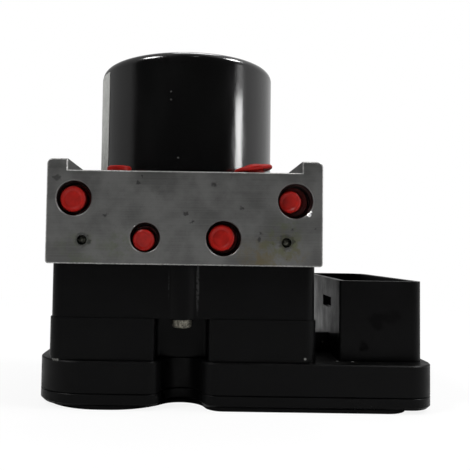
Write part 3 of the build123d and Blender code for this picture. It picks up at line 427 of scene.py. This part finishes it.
def grime(tree, ball_height):
    """Scattered pits, the pits that show most and a dirty ring round each ball plug."""
    broken = ragged_place(tree, 0.7, 3.0)
    marks = [specks(tree, broken, 0.2, 0.13, 0.5)]
    for across, height, width in PITS:
        marks.append(spot(tree, broken, (across, FRONT, height), width * 0.5, 0.7))
    for across in (-BALL_PLUG_X, BALL_PLUG_X):
        marks.append(times(tree, spot(tree, broken, (across, FRONT, ball_height), 2.1, 1.0), 0.75))
    return largest(tree, marks)


def painted_edge_highlights(tree, grain):
    """Painted highlight: one on the chamfers round the front and rear faces and the ports' mouths, broken up
    by the grain.
    """
    slanted = facing_share(tree, "Y")
    chamfers = times(tree, remap(tree, slanted, 0.5, 0.62), remap(tree, slanted, 0.9, 0.8))
    return times(tree, chamfers, remap(tree, grain, 0.62, 0.4, 0.3, 1.0))


def near_ports(tree):
    """One within a port's rim, whatever the depth."""
    return largest(tree, [
        spot(tree, place(tree, (1.0, 0.0, 1.0)), (across, 0.0, FOOT + height), radius + PORT_RIM, 0.2)
        for across, height, radius in PORTS
    ])


def milled_metal(name, colour, stain, ball_height):
    """Milled aluminium with cutting lines, clouds of grey, stains, grime, painted edge highlights, painted
    glints on the ports' rims and painted shade in the ports.
    """
    material, tree, shader = new_finish(name, Metallic=0.7)
    lines = cutting_lines(tree)
    clouds = noise(tree, place(tree), 0.09, detail=6.0, roughness=0.62)
    grain = noise(tree, place(tree), 1.3, detail=5.0, roughness=0.75)
    tone = blend(tree, remap(tree, clouds, 0.36, 0.66), shade(colour, 0.78), shade(colour, 1.18))
    tone = blend(tree, remap(tree, lines, 0.3, 0.7, 0.0, 0.3), tone, shade(colour, 1.4))
    tone = blend(tree, remap(tree, grain, 0.56, 0.72, 0.0, 0.35), tone, shade(colour, 0.5))
    tone = stained(tree, tone, stain)
    # The ports' bores get painted shade, tinged red by old fluid and by a painted reflection of the plugs, and
    # their rims are kept free of the painted edge highlight
    depth = depth_behind_front(tree)
    inside = times(tree, remap(tree, depth, 0.3, 0.9), remap(tree, depth, 20.0, 18.0))
    port = near_ports(tree)
    # Painted highlight along the chamfers, kept off the ports' rims
    edge = times(tree, painted_edge_highlights(tree, grain), rest_of(tree, port))
    tone = blend(tree, edge, tone, shade(colour, 3.6))
    # Painted shade inside the ports' bores, with a painted red reflection of the plugs
    tone = blend(tree, times(tree, inside, port), tone, BORE_SHADE_COLOUR)
    # Painted glints: white highlights painted onto the ports' rims
    for across, height, radius in RIM_GLINTS:
        glint = spot(tree, place(tree), (across, FRONT, FOOT + height), radius, 0.3)
        tone = blend(tree, glint, tone, (1.0, 1.0, 1.0))
    pits = grime(tree, ball_height)
    tone = blend(tree, times(tree, pits, 0.7), tone, shade(colour, 0.15))
    rough = reckon(tree, "ADD", remap(tree, clouds, 0.3, 0.7, 0.36, 0.5), times(tree, pits, 0.2))
    link(tree, shader, Base_Color=tone, Roughness=rough, Normal=bump(tree, lines, 0.000012))
    return material


def gloss_paint(name, colour):
    """Black gloss paint with a slight upright ripple, faint wiped haze and a few specks of dust."""
    material, tree, shader = new_finish(name, Roughness=0.16, Coat_Weight=0.25, Coat_Roughness=0.06)
    haze = noise(tree, place(tree, (1.0, 1.0, 0.25)), 0.12, detail=4.0)
    tone = blend(tree, remap(tree, haze, 0.4, 0.8), colour, shade(colour, 1.5))
    specked = ragged_place(tree, 0.9, 0.8)
    marks = [times(tree, specks(tree, specked, 0.11, 0.035, 0.5), 0.6)]
    marks.extend(spot(tree, specked, centre, 0.12, 0.28) for centre in DUST)
    tone = blend(tree, times(tree, largest(tree, marks), 0.5), tone, (0.25, 0.25, 0.24))
    ripple = noise(tree, place(tree, (1.0, 1.0, 0.3)), 0.35, detail=3.0)
    link(
        tree, shader, Base_Color=tone, Roughness=remap(tree, haze, 0.3, 0.75, 0.13, 0.2),
        Normal=bump(tree, ripple, 0.00004),
    )
    return material


def film(name, colour):
    """Label film: pale, mottled by rubbed dirt, darker in blotches along its height."""
    material, tree, shader = new_finish(name, Roughness=0.55)
    clouds = noise(tree, place(tree, (1.0, 1.0, 0.6)), 0.25, detail=6.0, roughness=0.65)
    scuffs = noise(tree, place(tree), 0.9, detail=4.0, roughness=0.6)
    tone = blend(tree, remap(tree, clouds, 0.4, 0.65), shade(colour, 0.84), shade(colour, 1.08))
    tone = blend(tree, remap(tree, scuffs, 0.56, 0.7, 0.0, 0.3), tone, shade(colour, 0.5))
    link(
        tree, shader, Base_Color=tone, Roughness=remap(tree, scuffs, 0.35, 0.7, 0.45, 0.7),
        Normal=bump(tree, clouds, 0.00003),
    )
    return material


def painted_tube_highlights(tree):
    """Painted highlights: light lines down the front screw tube, long as depth and height count for less,
    broken up by clouds.
    """
    depth_share, height_share = 0.15, 0.06
    drawn_out = place(tree, (1.0, depth_share, height_share))
    lines = largest(tree, [
        spot(tree, drawn_out, (across, TUBE_FRONT * depth_share, TUBE_MIDDLE * height_share), half, 0.35)
        for across, half in TUBE_HIGHLIGHTS
    ])
    return times(tree, lines, remap(tree, noise(tree, place(tree), 0.8, detail=4.0), 0.3, 0.6))


def painted_wall_sheen(tree):
    """Painted sheen: pale upright streaks of reflected light down the side of the shroud that faces the box.
    """
    across = part_of(tree, place(tree), "X")
    start, end = SHROUD_WALL
    wall = times(
        tree, remap(tree, across, start - 0.5, start + 0.5), remap(tree, across, end + 0.5, end - 0.5)
    )
    streaks = noise(tree, place(tree, (0.05, 0.9, 0.05)), 1.0, detail=4.0)
    return times(
        tree, wall, remap(tree, facing_share(tree, "X"), 0.5, 0.8), remap(tree, streaks, 0.35, 0.6, 0.2, 1.0)
    )


def moulded_plastic(name, colour, roughness):
    """Black moulded plastic: a fine grain, dull wiped patches, dust on level faces, crumbs, a painted
    highlight streak on the flange's corner, painted highlight lines down the screw tube, a painted sheen on
    the shroud's side wall, and smudges.
    """
    material, tree, shader = new_finish(name, IOR=1.5, Specular_IOR_Level=0.07)
    grain = noise(tree, place(tree), 3.0, detail=2.0)
    patches = noise(tree, place(tree), 0.07, detail=5.0, roughness=0.6)
    dust = times(
        tree, remap(tree, facing_share(tree, "Z"), 0.7, 1.0),
        remap(tree, noise(tree, place(tree), 0.5, detail=6.0, roughness=0.75), 0.52, 0.75, 0.0, 0.25),
    )
    tone = blend(tree, remap(tree, patches, 0.4, 0.7), colour, shade(colour, 1.8))
    tone = blend(tree, dust, tone, (0.05, 0.048, 0.04))
    marks = [times(tree, specks(tree, ragged_place(tree, 0.9, 0.8), 0.09, 0.045, 0.35), 0.3)]
    # Crumbs, and as the last three spots a painted highlight streak along the flange's left front corner
    marks.extend(spot(tree, place(tree), centre, 0.25, 0.35) for centre in CRUMBS_AND_GLINT_STREAK)
    tone = blend(tree, largest(tree, marks), tone, (0.2, 0.2, 0.19))
    # Painted highlights: light lines down the front screw tube
    tone = blend(tree, painted_tube_highlights(tree), tone, (0.035, 0.035, 0.035))
    # Painted sheen: pale streaks of reflected light on the shroud's side wall
    tone = blend(tree, painted_wall_sheen(tree), tone, (0.06, 0.06, 0.06))
    # The smudges are darker and duller than the plastic round them
    smeared = ragged_place(tree, 0.3, 6.0)
    smudge = largest(tree, [
        spot(tree, smeared, (across, SHROUD_FRONT, height), radius, softness)
        for across, height, radius, softness in SMUDGES
    ])
    tone = blend(tree, times(tree, smudge, 0.8), tone, shade(colour, 0.2))
    rough = remap(tree, patches, 0.3, 0.7, roughness - 0.07, roughness + 0.1)
    link(
        tree, shader, Base_Color=tone, Roughness=reckon(tree, "ADD", rough, times(tree, smudge, 0.35)),
        Normal=bump(tree, grain, 0.00002),
    )
    return material


def plug_plastic(name, colour, port_shade):
    """Soft red plastic with a faint cloudiness, small scratches and specks of dirt.

    Behind the block's front it darkens by port_shade: painted shade on the plug's flank inside its port.
    """
    material, tree, shader = new_finish(
        name, IOR=1.48, Specular_IOR_Level=0.2, Subsurface_Weight=0.08, Subsurface_Scale=0.001
    )
    clouds = noise(tree, place(tree), 0.5, detail=4.0)
    scratches = noise(tree, place(tree, (4.0, 1.0, 0.8)), 1.0, detail=3.0, distortion=1.0)
    tone = blend(tree, remap(tree, clouds, 0.35, 0.7), shade(colour, 0.85), shade(colour, 1.12))
    dirt = times(tree, specks(tree, ragged_place(tree, 1.0, 0.8), 0.35, 0.1, 0.5), 0.5)
    tone = blend(tree, dirt, tone, shade(colour, 0.25))
    # Painted shade on the plug's flank inside the port
    flank = remap(tree, depth_behind_front(tree), 1.2, 3.2, 0.0, port_shade)
    tone = blend(tree, flank, tone, shade(colour, 0.12))
    link(
        tree, shader, Base_Color=tone, Roughness=remap(tree, scratches, 0.35, 0.7, 0.34, 0.55),
        Normal=bump(tree, scratches, 0.00002),
    )
    return material


def dulled_steel(name, colour):
    """Dulled steel: light and dark crumbs of old fluid and dirt over a rough ground."""
    material, tree, shader = new_finish(name, Metallic=0.8)
    crumbs = noise(tree, place(tree), 1.4, detail=6.0, roughness=0.8)
    fine = noise(tree, place(tree), 4.0, detail=3.0)
    tone = blend(tree, remap(tree, crumbs, 0.42, 0.58), shade(colour, 0.3), shade(colour, 1.2))
    link(
        tree, shader, Base_Color=tone, Roughness=remap(tree, crumbs, 0.35, 0.65, 0.65, 0.45),
        Normal=bump(tree, fine, 0.00008),
    )
    return material


def turned_metal(name, colour, roughness, ring_axis="Z"):
    """Turned metal: fine tool rings along an axis and a slightly cloudy tone."""
    material, tree, shader = new_finish(name, Metallic=1.0)
    scales = {"X": (6.0, 0.02, 0.02), "Y": (0.02, 6.0, 0.02), "Z": (0.02, 0.02, 6.0)}
    rings = noise(tree, place(tree, scales[ring_axis]), 1.0, detail=2.0)
    clouds = noise(tree, place(tree), 0.4, detail=5.0, roughness=0.65)
    tone = blend(tree, remap(tree, clouds, 0.35, 0.7), shade(colour, 0.8), shade(colour, 1.08))
    rough = remap(tree, rings, 0.3, 0.7, roughness - 0.06, roughness + 0.1)
    link(tree, shader, Base_Color=tone, Roughness=rough, Normal=bump(tree, rings, 0.000008))
    return material


def grained(name, colour, scale, metallic, roughness, contrast):
    """A grainy solid: two tones of one colour in clouds of the given fineness, with a matching bump."""
    material, tree, shader = new_finish(name, Metallic=metallic)
    clouds = noise(tree, place(tree), scale, detail=6.0, roughness=0.7)
    dark, light = shade(colour, 1.0 - contrast), shade(colour, 1.0 + contrast)
    tone = blend(tree, remap(tree, clouds, 0.38, 0.64), dark, light)
    rough = remap(tree, clouds, 0.35, 0.65, roughness - 0.08, roughness + 0.08)
    link(tree, shader, Base_Color=tone, Roughness=rough, Normal=bump(tree, clouds, 0.00002))
    return material


def wound_wire(name, colour, wire_per_mm, metallic):
    """A winding: even turns of wire stacked along Z, each a painted highlight on its crown between gaps of
    painted shade.
    """
    material, tree, shader = new_finish(name, Metallic=metallic, Roughness=0.35)
    turns = add_node(
        tree, "ShaderNodeTexWave",
        {"Vector": place(tree), "Scale": wire_per_mm, "Distortion": 0.6, "Detail": 1.0},
        bands_direction="Z", wave_profile="SIN",
    ).outputs["Fac"]
    # Painted highlight on each turn's crown and painted shade in the gaps between turns
    tone = blend(tree, remap(tree, turns, 0.1, 0.8), shade(colour, 0.3), shade(colour, 1.1))
    link(tree, shader, Base_Color=tone, Normal=bump(tree, turns, 0.00015))
    return material


def loop_faces(rows, columns, ring_of_rows):
    """Corner numbers of the four-sided faces of a grid whose columns close on themselves."""
    row_count = rows if ring_of_rows else rows - 1
    r = np.arange(row_count)[:, None]
    c = np.arange(columns)[None, :]
    after = (r + 1) % rows
    beside = (c + 1) % columns
    corners = np.stack(
        [r * columns + c, r * columns + beside, after * columns + beside, after * columns + c], axis=-1
    )
    return corners.reshape(-1, 4)


def add_surface(name, grids, body, material):
    """One piece made of grids of points whose columns close on themselves.

    The rows of a grid close too where it says so, and are capped at both ends elsewhere.
    """
    points, faces, first = [], [], 0
    for grid, ring_of_rows in grids:
        rows, columns = grid.shape[:2]
        points.append(grid.reshape(-1, 3))
        faces.extend((loop_faces(rows, columns, ring_of_rows) + first).tolist())
        if not ring_of_rows:
            faces.append(list(range(first + columns - 1, first - 1, -1)))
            faces.append(list(range(first + (rows - 1) * columns, first + rows * columns)))
        first += rows * columns
    mesh = bpy.data.meshes.new(name)
    mesh.from_pydata(np.concatenate(points).tolist(), [], faces)
    mesh.materials.append(material)
    piece = bpy.data.objects.new(name, mesh)
    bpy.context.scene.collection.objects.link(piece)
    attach(piece, body)


def axes_of(direction):
    """Two directions across the given one, as rows, so that the three form a right-handed set."""
    along = np.array(direction, float)
    across = np.cross((0.0, 0.0, 1.0), along) if abs(along[2]) < 0.5 else np.array((1.0, 0.0, 0.0))
    across /= np.linalg.norm(across)
    return across, np.cross(along, across), along


def thread_grid(mouth, direction, radius, ridge, pitch, start, end):
    """A thread ridge on a bore's wall, as a grid of stations along the helix by four corners of its section.

    At angle t the section lies at a depth of start plus pitch times t over a full turn. Its crest stands a
    ridge inside the radius, its two feet and its back lie behind the wall. Over the first and the last third
    of a turn the crest's rise over its feet is the full rise times the sine of an angle. That angle grows with
    the way from the thread's end, from nothing to a quarter turn.
    """
    stations = 40
    sunk, thickness = 0.06 * MM, 0.3 * MM
    half_foot = 0.42 * pitch
    turns = (end - start) / pitch
    angle = np.linspace(0.0, 2 * pi * turns, int(turns * stations) + 1)
    run_in = np.minimum(angle, angle[-1] - angle) / (2 * pi / 3)
    rise = np.sin(np.clip(run_in, 0.0, 1.0) * pi / 2)
    foot = np.full_like(angle, radius + sunk)
    reach = np.stack([foot, foot - (ridge + sunk) * rise, foot, foot + thickness], axis=1)
    offset = np.array([half_foot, 0.0, -half_foot, 0.0])
    depth = (start + pitch * angle / (2 * pi))[:, None] + offset[None, :]
    across, upward, along = axes_of(direction)
    circle = np.cos(angle)[:, None, None] * across + np.sin(angle)[:, None, None] * upward
    return mouth + circle * reach[:, :, None] - depth[:, :, None] * along


def head_centres(node, level):
    """The middle of each screw head, from the corners of the node's mesh at the heads' level."""
    points = np.empty(len(node.data.vertices) * 3)
    node.data.vertices.foreach_get("co", points)
    points = points.reshape(-1, 3)
    face = points[np.abs(points[:, 2] - level) < 0.01 * MM][:, :2]
    centres = []
    while len(face):
        near = np.linalg.norm(face - face[0], axis=1) < HEAD_REACH * MM
        low, high = face[near].min(axis=0), face[near].max(axis=0)
        centres.append(tuple((low + high) / 2))
        face = face[~near]
    return centres


def recess_grid(face, direction, outer, inner, drives, depth):
    """The wall between a round pocket and a lobed recess, as a ring of sections with five corners each.

    At angle t the recess's radius is inner times one plus the lobe depth times the cosine of lobes times t.
    The section is a rectangle between that radius and the outer one, with its inner top corner broken.
    """
    stations = 144
    angle = np.linspace(0.0, 2 * pi, stations, endpoint=False)
    hollow = inner * (1.0 + drives.lobe_depth * np.cos(drives.lobes * angle))
    broken = 0.12 * MM
    sunk = 0.02 * MM
    solid = np.full_like(angle, outer)
    reach = np.stack([hollow, hollow, hollow + broken, solid, solid], axis=1)
    height = np.array([-depth, -broken - sunk, -sunk, -sunk, -depth])
    across, upward, along = axes_of(direction)
    circle = np.cos(angle)[:, None, None] * across + np.sin(angle)[:, None, None] * upward
    return np.array(face) + circle * reach[:, :, None] + height[None, :, None] * along


class BRAKEUNIT_OT_block(bpy.types.Operator):
    """Finish the valve block in milled aluminium"""

    bl_idname = "brakeunit.block"
    bl_label = "Finish block"

    def execute(self, context):
        colours = context.scene.brake_unit.colours
        ball_low, ball_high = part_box("ball_plugs")
        ball_height = (ball_low.z + ball_high.z) / 2 * PER_MM
        finish = milled_metal("milled_aluminium", tuple(colours.block), tuple(colours.stain), ball_height)
        dress(finish, "valve_block")
        return {"FINISHED"}


class BRAKEUNIT_OT_motor(bpy.types.Operator):
    """Finish the motor's can, its label and its screws"""

    bl_idname = "brakeunit.motor"
    bl_label = "Finish motor"

    def execute(self, context):
        colours = context.scene.brake_unit.colours
        dress(gloss_paint("can_paint", tuple(colours.can)), "motor_can")
        dress(film("label_film", tuple(colours.label)), "motor_label")
        dress(turned_metal("black_zinc", (0.05, 0.05, 0.05), 0.4), "motor_screws")
        return {"FINISHED"}


class BRAKEUNIT_OT_controller(bpy.types.Operator):
    """Finish the controller's housing and lid, its screws, board and pins"""

    bl_idname = "brakeunit.controller"
    bl_label = "Finish controller"

    def execute(self, context):
        colours = context.scene.brake_unit.colours
        dress(moulded_plastic("housing_plastic", tuple(colours.housing), 0.36), "ecu_housing")
        dress(moulded_plastic("lid_plastic", shade(colours.housing, 0.9), 0.32), "ecu_lid")
        dress(dulled_steel("dull_zinc", (0.24, 0.23, 0.19)), "ecu_screws")
        dress(dulled_steel("dirty_steel", (0.10, 0.10, 0.08)), "ball_plugs")
        dress(grained("board_laminate", (0.02, 0.12, 0.04), 0.3, 0.0, 0.4, 0.2), "circuit_board")
        dress(turned_metal("tinned_pins", (0.6, 0.58, 0.52), 0.25), "connector_pins")
        return {"FINISHED"}


class BRAKEUNIT_OT_plugs(bpy.types.Operator):
    """Finish the red plugs of the ports"""

    bl_idname = "brakeunit.plugs"
    bl_label = "Finish plugs"

    def execute(self, context):
        colours = context.scene.brake_unit.colours
        # How dark the painted shade on each kind's flank inside the port gets
        for kind, port_shade in (("port_plug", 0.85), ("master_plug", 0.0)):
            names = [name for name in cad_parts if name.startswith(kind)]
            dress(plug_plastic(f"{kind}_plastic", tuple(colours.plug), port_shade), *names)
        return {"FINISHED"}


class BRAKEUNIT_OT_threads(bpy.types.Operator):
    """Add threads to the brake line ports and the bracket holes"""

    bl_idname = "brakeunit.threads"
    bl_label = "Add threads"

    def execute(self, context):
        threads = context.scene.brake_unit.threads
        bores = [
            ((across, FRONT, FOOT + height), (0.0, -1.0, 0.0), radius, PORT_THREAD)
            for across, height, radius in PORTS
        ]
        rear, left, height = block_high.y * PER_MM, block_low.x * PER_MM, FOOT + BRACKET_HOLE_HEIGHT
        for mouth, direction in (
            ((-BRACKET_HOLE_X, rear, height), (0.0, 1.0, 0.0)),
            ((BRACKET_HOLE_X, rear, height), (0.0, 1.0, 0.0)),
            ((left, SIDE_HOLE_Y, height), (-1.0, 0.0, 0.0)),
        ):
            bores.append((mouth, direction, BRACKET_HOLE_RADIUS, BRACKET_THREAD))
        grids = [
            thread_grid(
                np.array(mouth) * MM, direction, radius * MM, threads.ridge, threads.pitch,
                start * MM, end * MM,
            )
            for mouth, direction, radius, (start, end) in bores
        ]
        metal = turned_metal("cut_thread", (0.16, 0.16, 0.155), 0.4)
        add_surface("threads", [(grid, False) for grid in grids], "base", metal)
        return {"FINISHED"}


class BRAKEUNIT_OT_drives(bpy.types.Operator):
    """Give the screw heads their six-lobed recesses"""

    bl_idname = "brakeunit.drives"
    bl_label = "Add screw recesses"

    def execute(self, context):
        drives = context.scene.brake_unit.drives
        for name, direction, radius, depth, slot in RECESSES:
            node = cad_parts[name]
            low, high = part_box(name)
            level = high.z if direction[2] > 0 else low.z
            outer, inner = radius * MM, radius * RECESS_SHARE * MM
            grids = [
                (recess_grid((x, y, level), direction, outer, inner, drives, depth * MM), True)
                for x, y in head_centres(node, level)
            ]
            add_surface(f"{name}_drive", grids, "base", node.material_slots[0].material)
        return {"FINISHED"}


class BRAKEUNIT_OT_inner_parts(bpy.types.Operator):
    """Finish the pump, the reservoirs, the valves and the motor's inner parts"""

    bl_idname = "brakeunit.inner_parts"
    bl_label = "Finish inner parts"

    def execute(self, context):
        sides = ("left", "right")
        plungers = [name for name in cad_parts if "_plunger_" in name]
        dress(
            turned_metal("ground_steel", (0.50, 0.50, 0.49), 0.22), "pump_valve_balls", "rotor_shaft",
            "eccentric_bearing", "front_bearing", "rear_bearing", "inlet_valves", "outlet_valves", *plungers,
            *(f"pump_{part}_{side}" for part in ("piston", "sleeve") for side in sides),
        )
        for part, axis in (("pump", "X"), ("accumulator", "Y")):
            cap_metal = turned_metal(f"{part}_cap_aluminium", (0.36, 0.36, 0.35), 0.3, axis)
            dress(cap_metal, *(f"{part}_cap_{side}" for side in sides))
        dress(
            turned_metal("spring_wire", (0.30, 0.30, 0.30), 0.3), "brush_springs",
            *(f"{part}_spring_{side}" for part in ("pump", "accumulator") for side in sides),
        )
        dress(
            turned_metal("anodised_aluminium", (0.50, 0.44, 0.30), 0.3),
            *(f"accumulator_piston_{side}" for side in sides),
        )
        dress(grained("sintered_ferrite", (0.035, 0.035, 0.04), 1.5, 0.1, 0.6, 0.35), "magnets")
        dress(turned_metal("stacked_sheet", (0.22, 0.22, 0.23), 0.45), "armature_core")
        dress(wound_wire("copper_wire", (0.55, 0.20, 0.08), 2.2, 0.9), "armature_windings")
        dress(turned_metal("copper_bar", (0.60, 0.27, 0.13), 0.25), "commutator", "motor_contacts")
        dress(grained("sintered_bronze", (0.42, 0.27, 0.10), 2.5, 0.9, 0.4, 0.25), "tail_bush")
        moulding = grained("dark_moulding", (0.035, 0.03, 0.025), 0.6, 0.0, 0.5, 0.3)
        dress(moulding, "brush_plate", "contact_column")
        dress(grained("pressed_carbon", (0.03, 0.03, 0.03), 2.0, 0.4, 0.5, 0.4), "brushes")
        dress(wound_wire("varnished_coil", (0.10, 0.05, 0.03), 1.6, 0.3), "inlet_coils", "outlet_coils")
        return {"FINISHED"}


class BRAKEUNIT_OT_stage(bpy.types.Operator):
    """Set up the floor, the backdrop's light, the lamps and the camera"""

    bl_idname = "brakeunit.stage"
    bl_label = "Set stage"

    def execute(self, context):
        studio = context.scene.brake_unit.studio
        set_floor()
        set_world(studio)
        middle = Vector((0.0, 0.0, (rest_bounds[0].z + rest_bounds[1].z) / 2))
        wall = Vector((0.0, 0.0, (can_low.z + can_high.z) / 2))
        for name, faces_can, azimuth, rise, distance, size, power in LAMPS:
            target = wall if faces_can else middle
            add_lamp(name, target, azimuth, rise, distance, size, getattr(studio, power))
        set_camera(context.scene, studio)
        context.scene.view_settings.view_transform = "Standard"
        return {"FINISHED"}


def set_floor():
    """A wide pale plane that looks white to the camera and still shows a soft shadow."""
    half = 3.0
    corners = [(-half, -half, 0.0), (half, -half, 0.0), (half, half, 0.0), (-half, half, 0.0)]
    mesh = bpy.data.meshes.new("floor")
    mesh.from_pydata(corners, [], [(0, 1, 2, 3)])
    floor = bpy.data.objects.new("floor", mesh)
    bpy.context.scene.collection.objects.link(floor)
    material, tree, shader = new_finish("floor_paper", Roughness=0.9, Specular_IOR_Level=0.0)
    clouds = noise(tree, place(tree), 0.02)
    link(tree, shader, Base_Color=blend(tree, clouds, (0.82, 0.82, 0.82), (0.85, 0.85, 0.85)))
    white = add_node(tree, "ShaderNodeEmission", {"Color": (1.0, 1.0, 1.0, 1.0), "Strength": 1.0})
    rays = add_node(tree, "ShaderNodeLightPath", {})
    away = add_node(tree, "ShaderNodeVectorMath", {0: place(tree)}, operation="LENGTH")
    far = remap(tree, away.outputs["Value"], 120.0, 450.0, 0.87, 1.0)
    share = times(tree, rays.outputs["Is Camera Ray"], far)
    mixed = add_node(
        tree, "ShaderNodeMixShader", {0: share, 1: shader.outputs["BSDF"], 2: white.outputs["Emission"]}
    )
    tree.links.new(mixed.outputs["Shader"], tree.nodes["Material Output"].inputs["Surface"])
    mesh.materials.append(material)


def set_world(studio):
    """White to the camera. To the object it is pale behind, paler on the right, and dark in front."""
    world = bpy.data.worlds.new("room")
    bpy.context.scene.world = world
    world.use_nodes = True
    tree = world.node_tree
    room = tree.nodes["Background"]
    direction = add_node(tree, "ShaderNodeTexCoord", {}).outputs["Generated"]
    across = remap(tree, part_of(tree, direction, "X"), -0.6, 0.6)
    backdrop = blend(tree, across, (studio.fill_left,) * 3, (studio.fill_right,) * 3)
    rear = remap(tree, part_of(tree, direction, "Y"), -0.38, -0.16)
    tree.links.new(blend(tree, rear, (studio.fill_front,) * 3, backdrop), room.inputs["Color"])
    white = add_node(tree, "ShaderNodeBackground", {"Color": (1.0, 1.0, 1.0, 1.0), "Strength": 1.0})
    rays = add_node(tree, "ShaderNodeLightPath", {})
    mixed = add_node(
        tree, "ShaderNodeMixShader",
        {0: rays.outputs["Is Camera Ray"], 1: room.outputs["Background"], 2: white.outputs["Background"]},
    )
    tree.links.new(mixed.outputs["Shader"], tree.nodes["World Output"].inputs["Surface"])


def add_lamp(name, target, azimuth, rise, distance, size, power):
    """A rectangular lamp facing the target. Its azimuth counts from the front to the right."""
    turn, lift = radians(azimuth), radians(rise)
    position = target + distance * Vector((cos(lift) * sin(turn), -cos(lift) * cos(turn), sin(lift)))
    data = bpy.data.lights.new(name, "AREA")
    data.shape = "RECTANGLE"
    data.size, data.size_y = size
    data.energy = power
    lamp = bpy.data.objects.new(name, data)
    lamp.location = position
    lamp.rotation_euler = (target - position).to_track_quat("-Z", "Y").to_euler()
    bpy.context.scene.collection.objects.link(lamp)


def set_camera(scene, studio):
    """The photograph's camera: low in front, looking slightly up, its frame shifted to the right."""
    data = bpy.data.cameras.new("camera")
    data.lens = studio.lens
    data.sensor_width = 36.0
    data.shift_x, data.shift_y = studio.shift
    camera = bpy.data.objects.new("camera", data)
    camera.matrix_world = (
        Matrix.Translation(studio.camera_place)
        @ Matrix.Rotation(pi / 2 + studio.camera_rise, 4, "X")
        @ Matrix.Rotation(studio.camera_roll, 4, "Z")
    )
    scene.collection.objects.link(camera)
    scene.camera = camera


class BRAKEUNIT_PT_panel(bpy.types.Panel):
    """The unit's settings and steps"""

    bl_idname = "BRAKEUNIT_PT_panel"
    bl_label = "Brake Unit"
    bl_space_type = "VIEW_3D"
    bl_region_type = "UI"
    bl_category = "Brake Unit"

    def draw(self, context):
        settings = context.scene.brake_unit
        for title, group in (
            ("Colours", settings.colours), ("Threads", settings.threads), ("Screw recesses", settings.drives),
            ("Studio", settings.studio),
        ):
            box = self.layout.box()
            box.label(text=title)
            for key in group.bl_rna.properties.keys():
                if key not in {"rna_type", "name"}:
                    box.prop(group, key)
        for operator in OPERATORS:
            self.layout.operator(operator.bl_idname)


OPERATORS = (
    BRAKEUNIT_OT_block, BRAKEUNIT_OT_motor, BRAKEUNIT_OT_controller, BRAKEUNIT_OT_plugs,
    BRAKEUNIT_OT_inner_parts, BRAKEUNIT_OT_threads, BRAKEUNIT_OT_drives, BRAKEUNIT_OT_stage,
)
CLASSES = (
    BrakeUnitColours, BrakeUnitThreads, BrakeUnitDrives, BrakeUnitStudio, BrakeUnitSettings, *OPERATORS,
    BRAKEUNIT_PT_panel,
)


def register():
    """Make the settings, the steps and the panel known."""
    for cls in CLASSES:
        bpy.utils.register_class(cls)
    bpy.types.Scene.brake_unit = PointerProperty(type=BrakeUnitSettings)


def unregister():
    """Take them back."""
    del bpy.types.Scene.brake_unit
    for cls in reversed(CLASSES):
        bpy.utils.unregister_class(cls)


def main():
    """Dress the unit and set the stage."""
    register()
    bpy.ops.brakeunit.block()
    bpy.ops.brakeunit.motor()
    bpy.ops.brakeunit.controller()
    bpy.ops.brakeunit.plugs()
    bpy.ops.brakeunit.inner_parts()
    bpy.ops.brakeunit.threads()
    bpy.ops.brakeunit.drives()
    bpy.ops.brakeunit.stage()


if __name__ == "__main__":
    main()
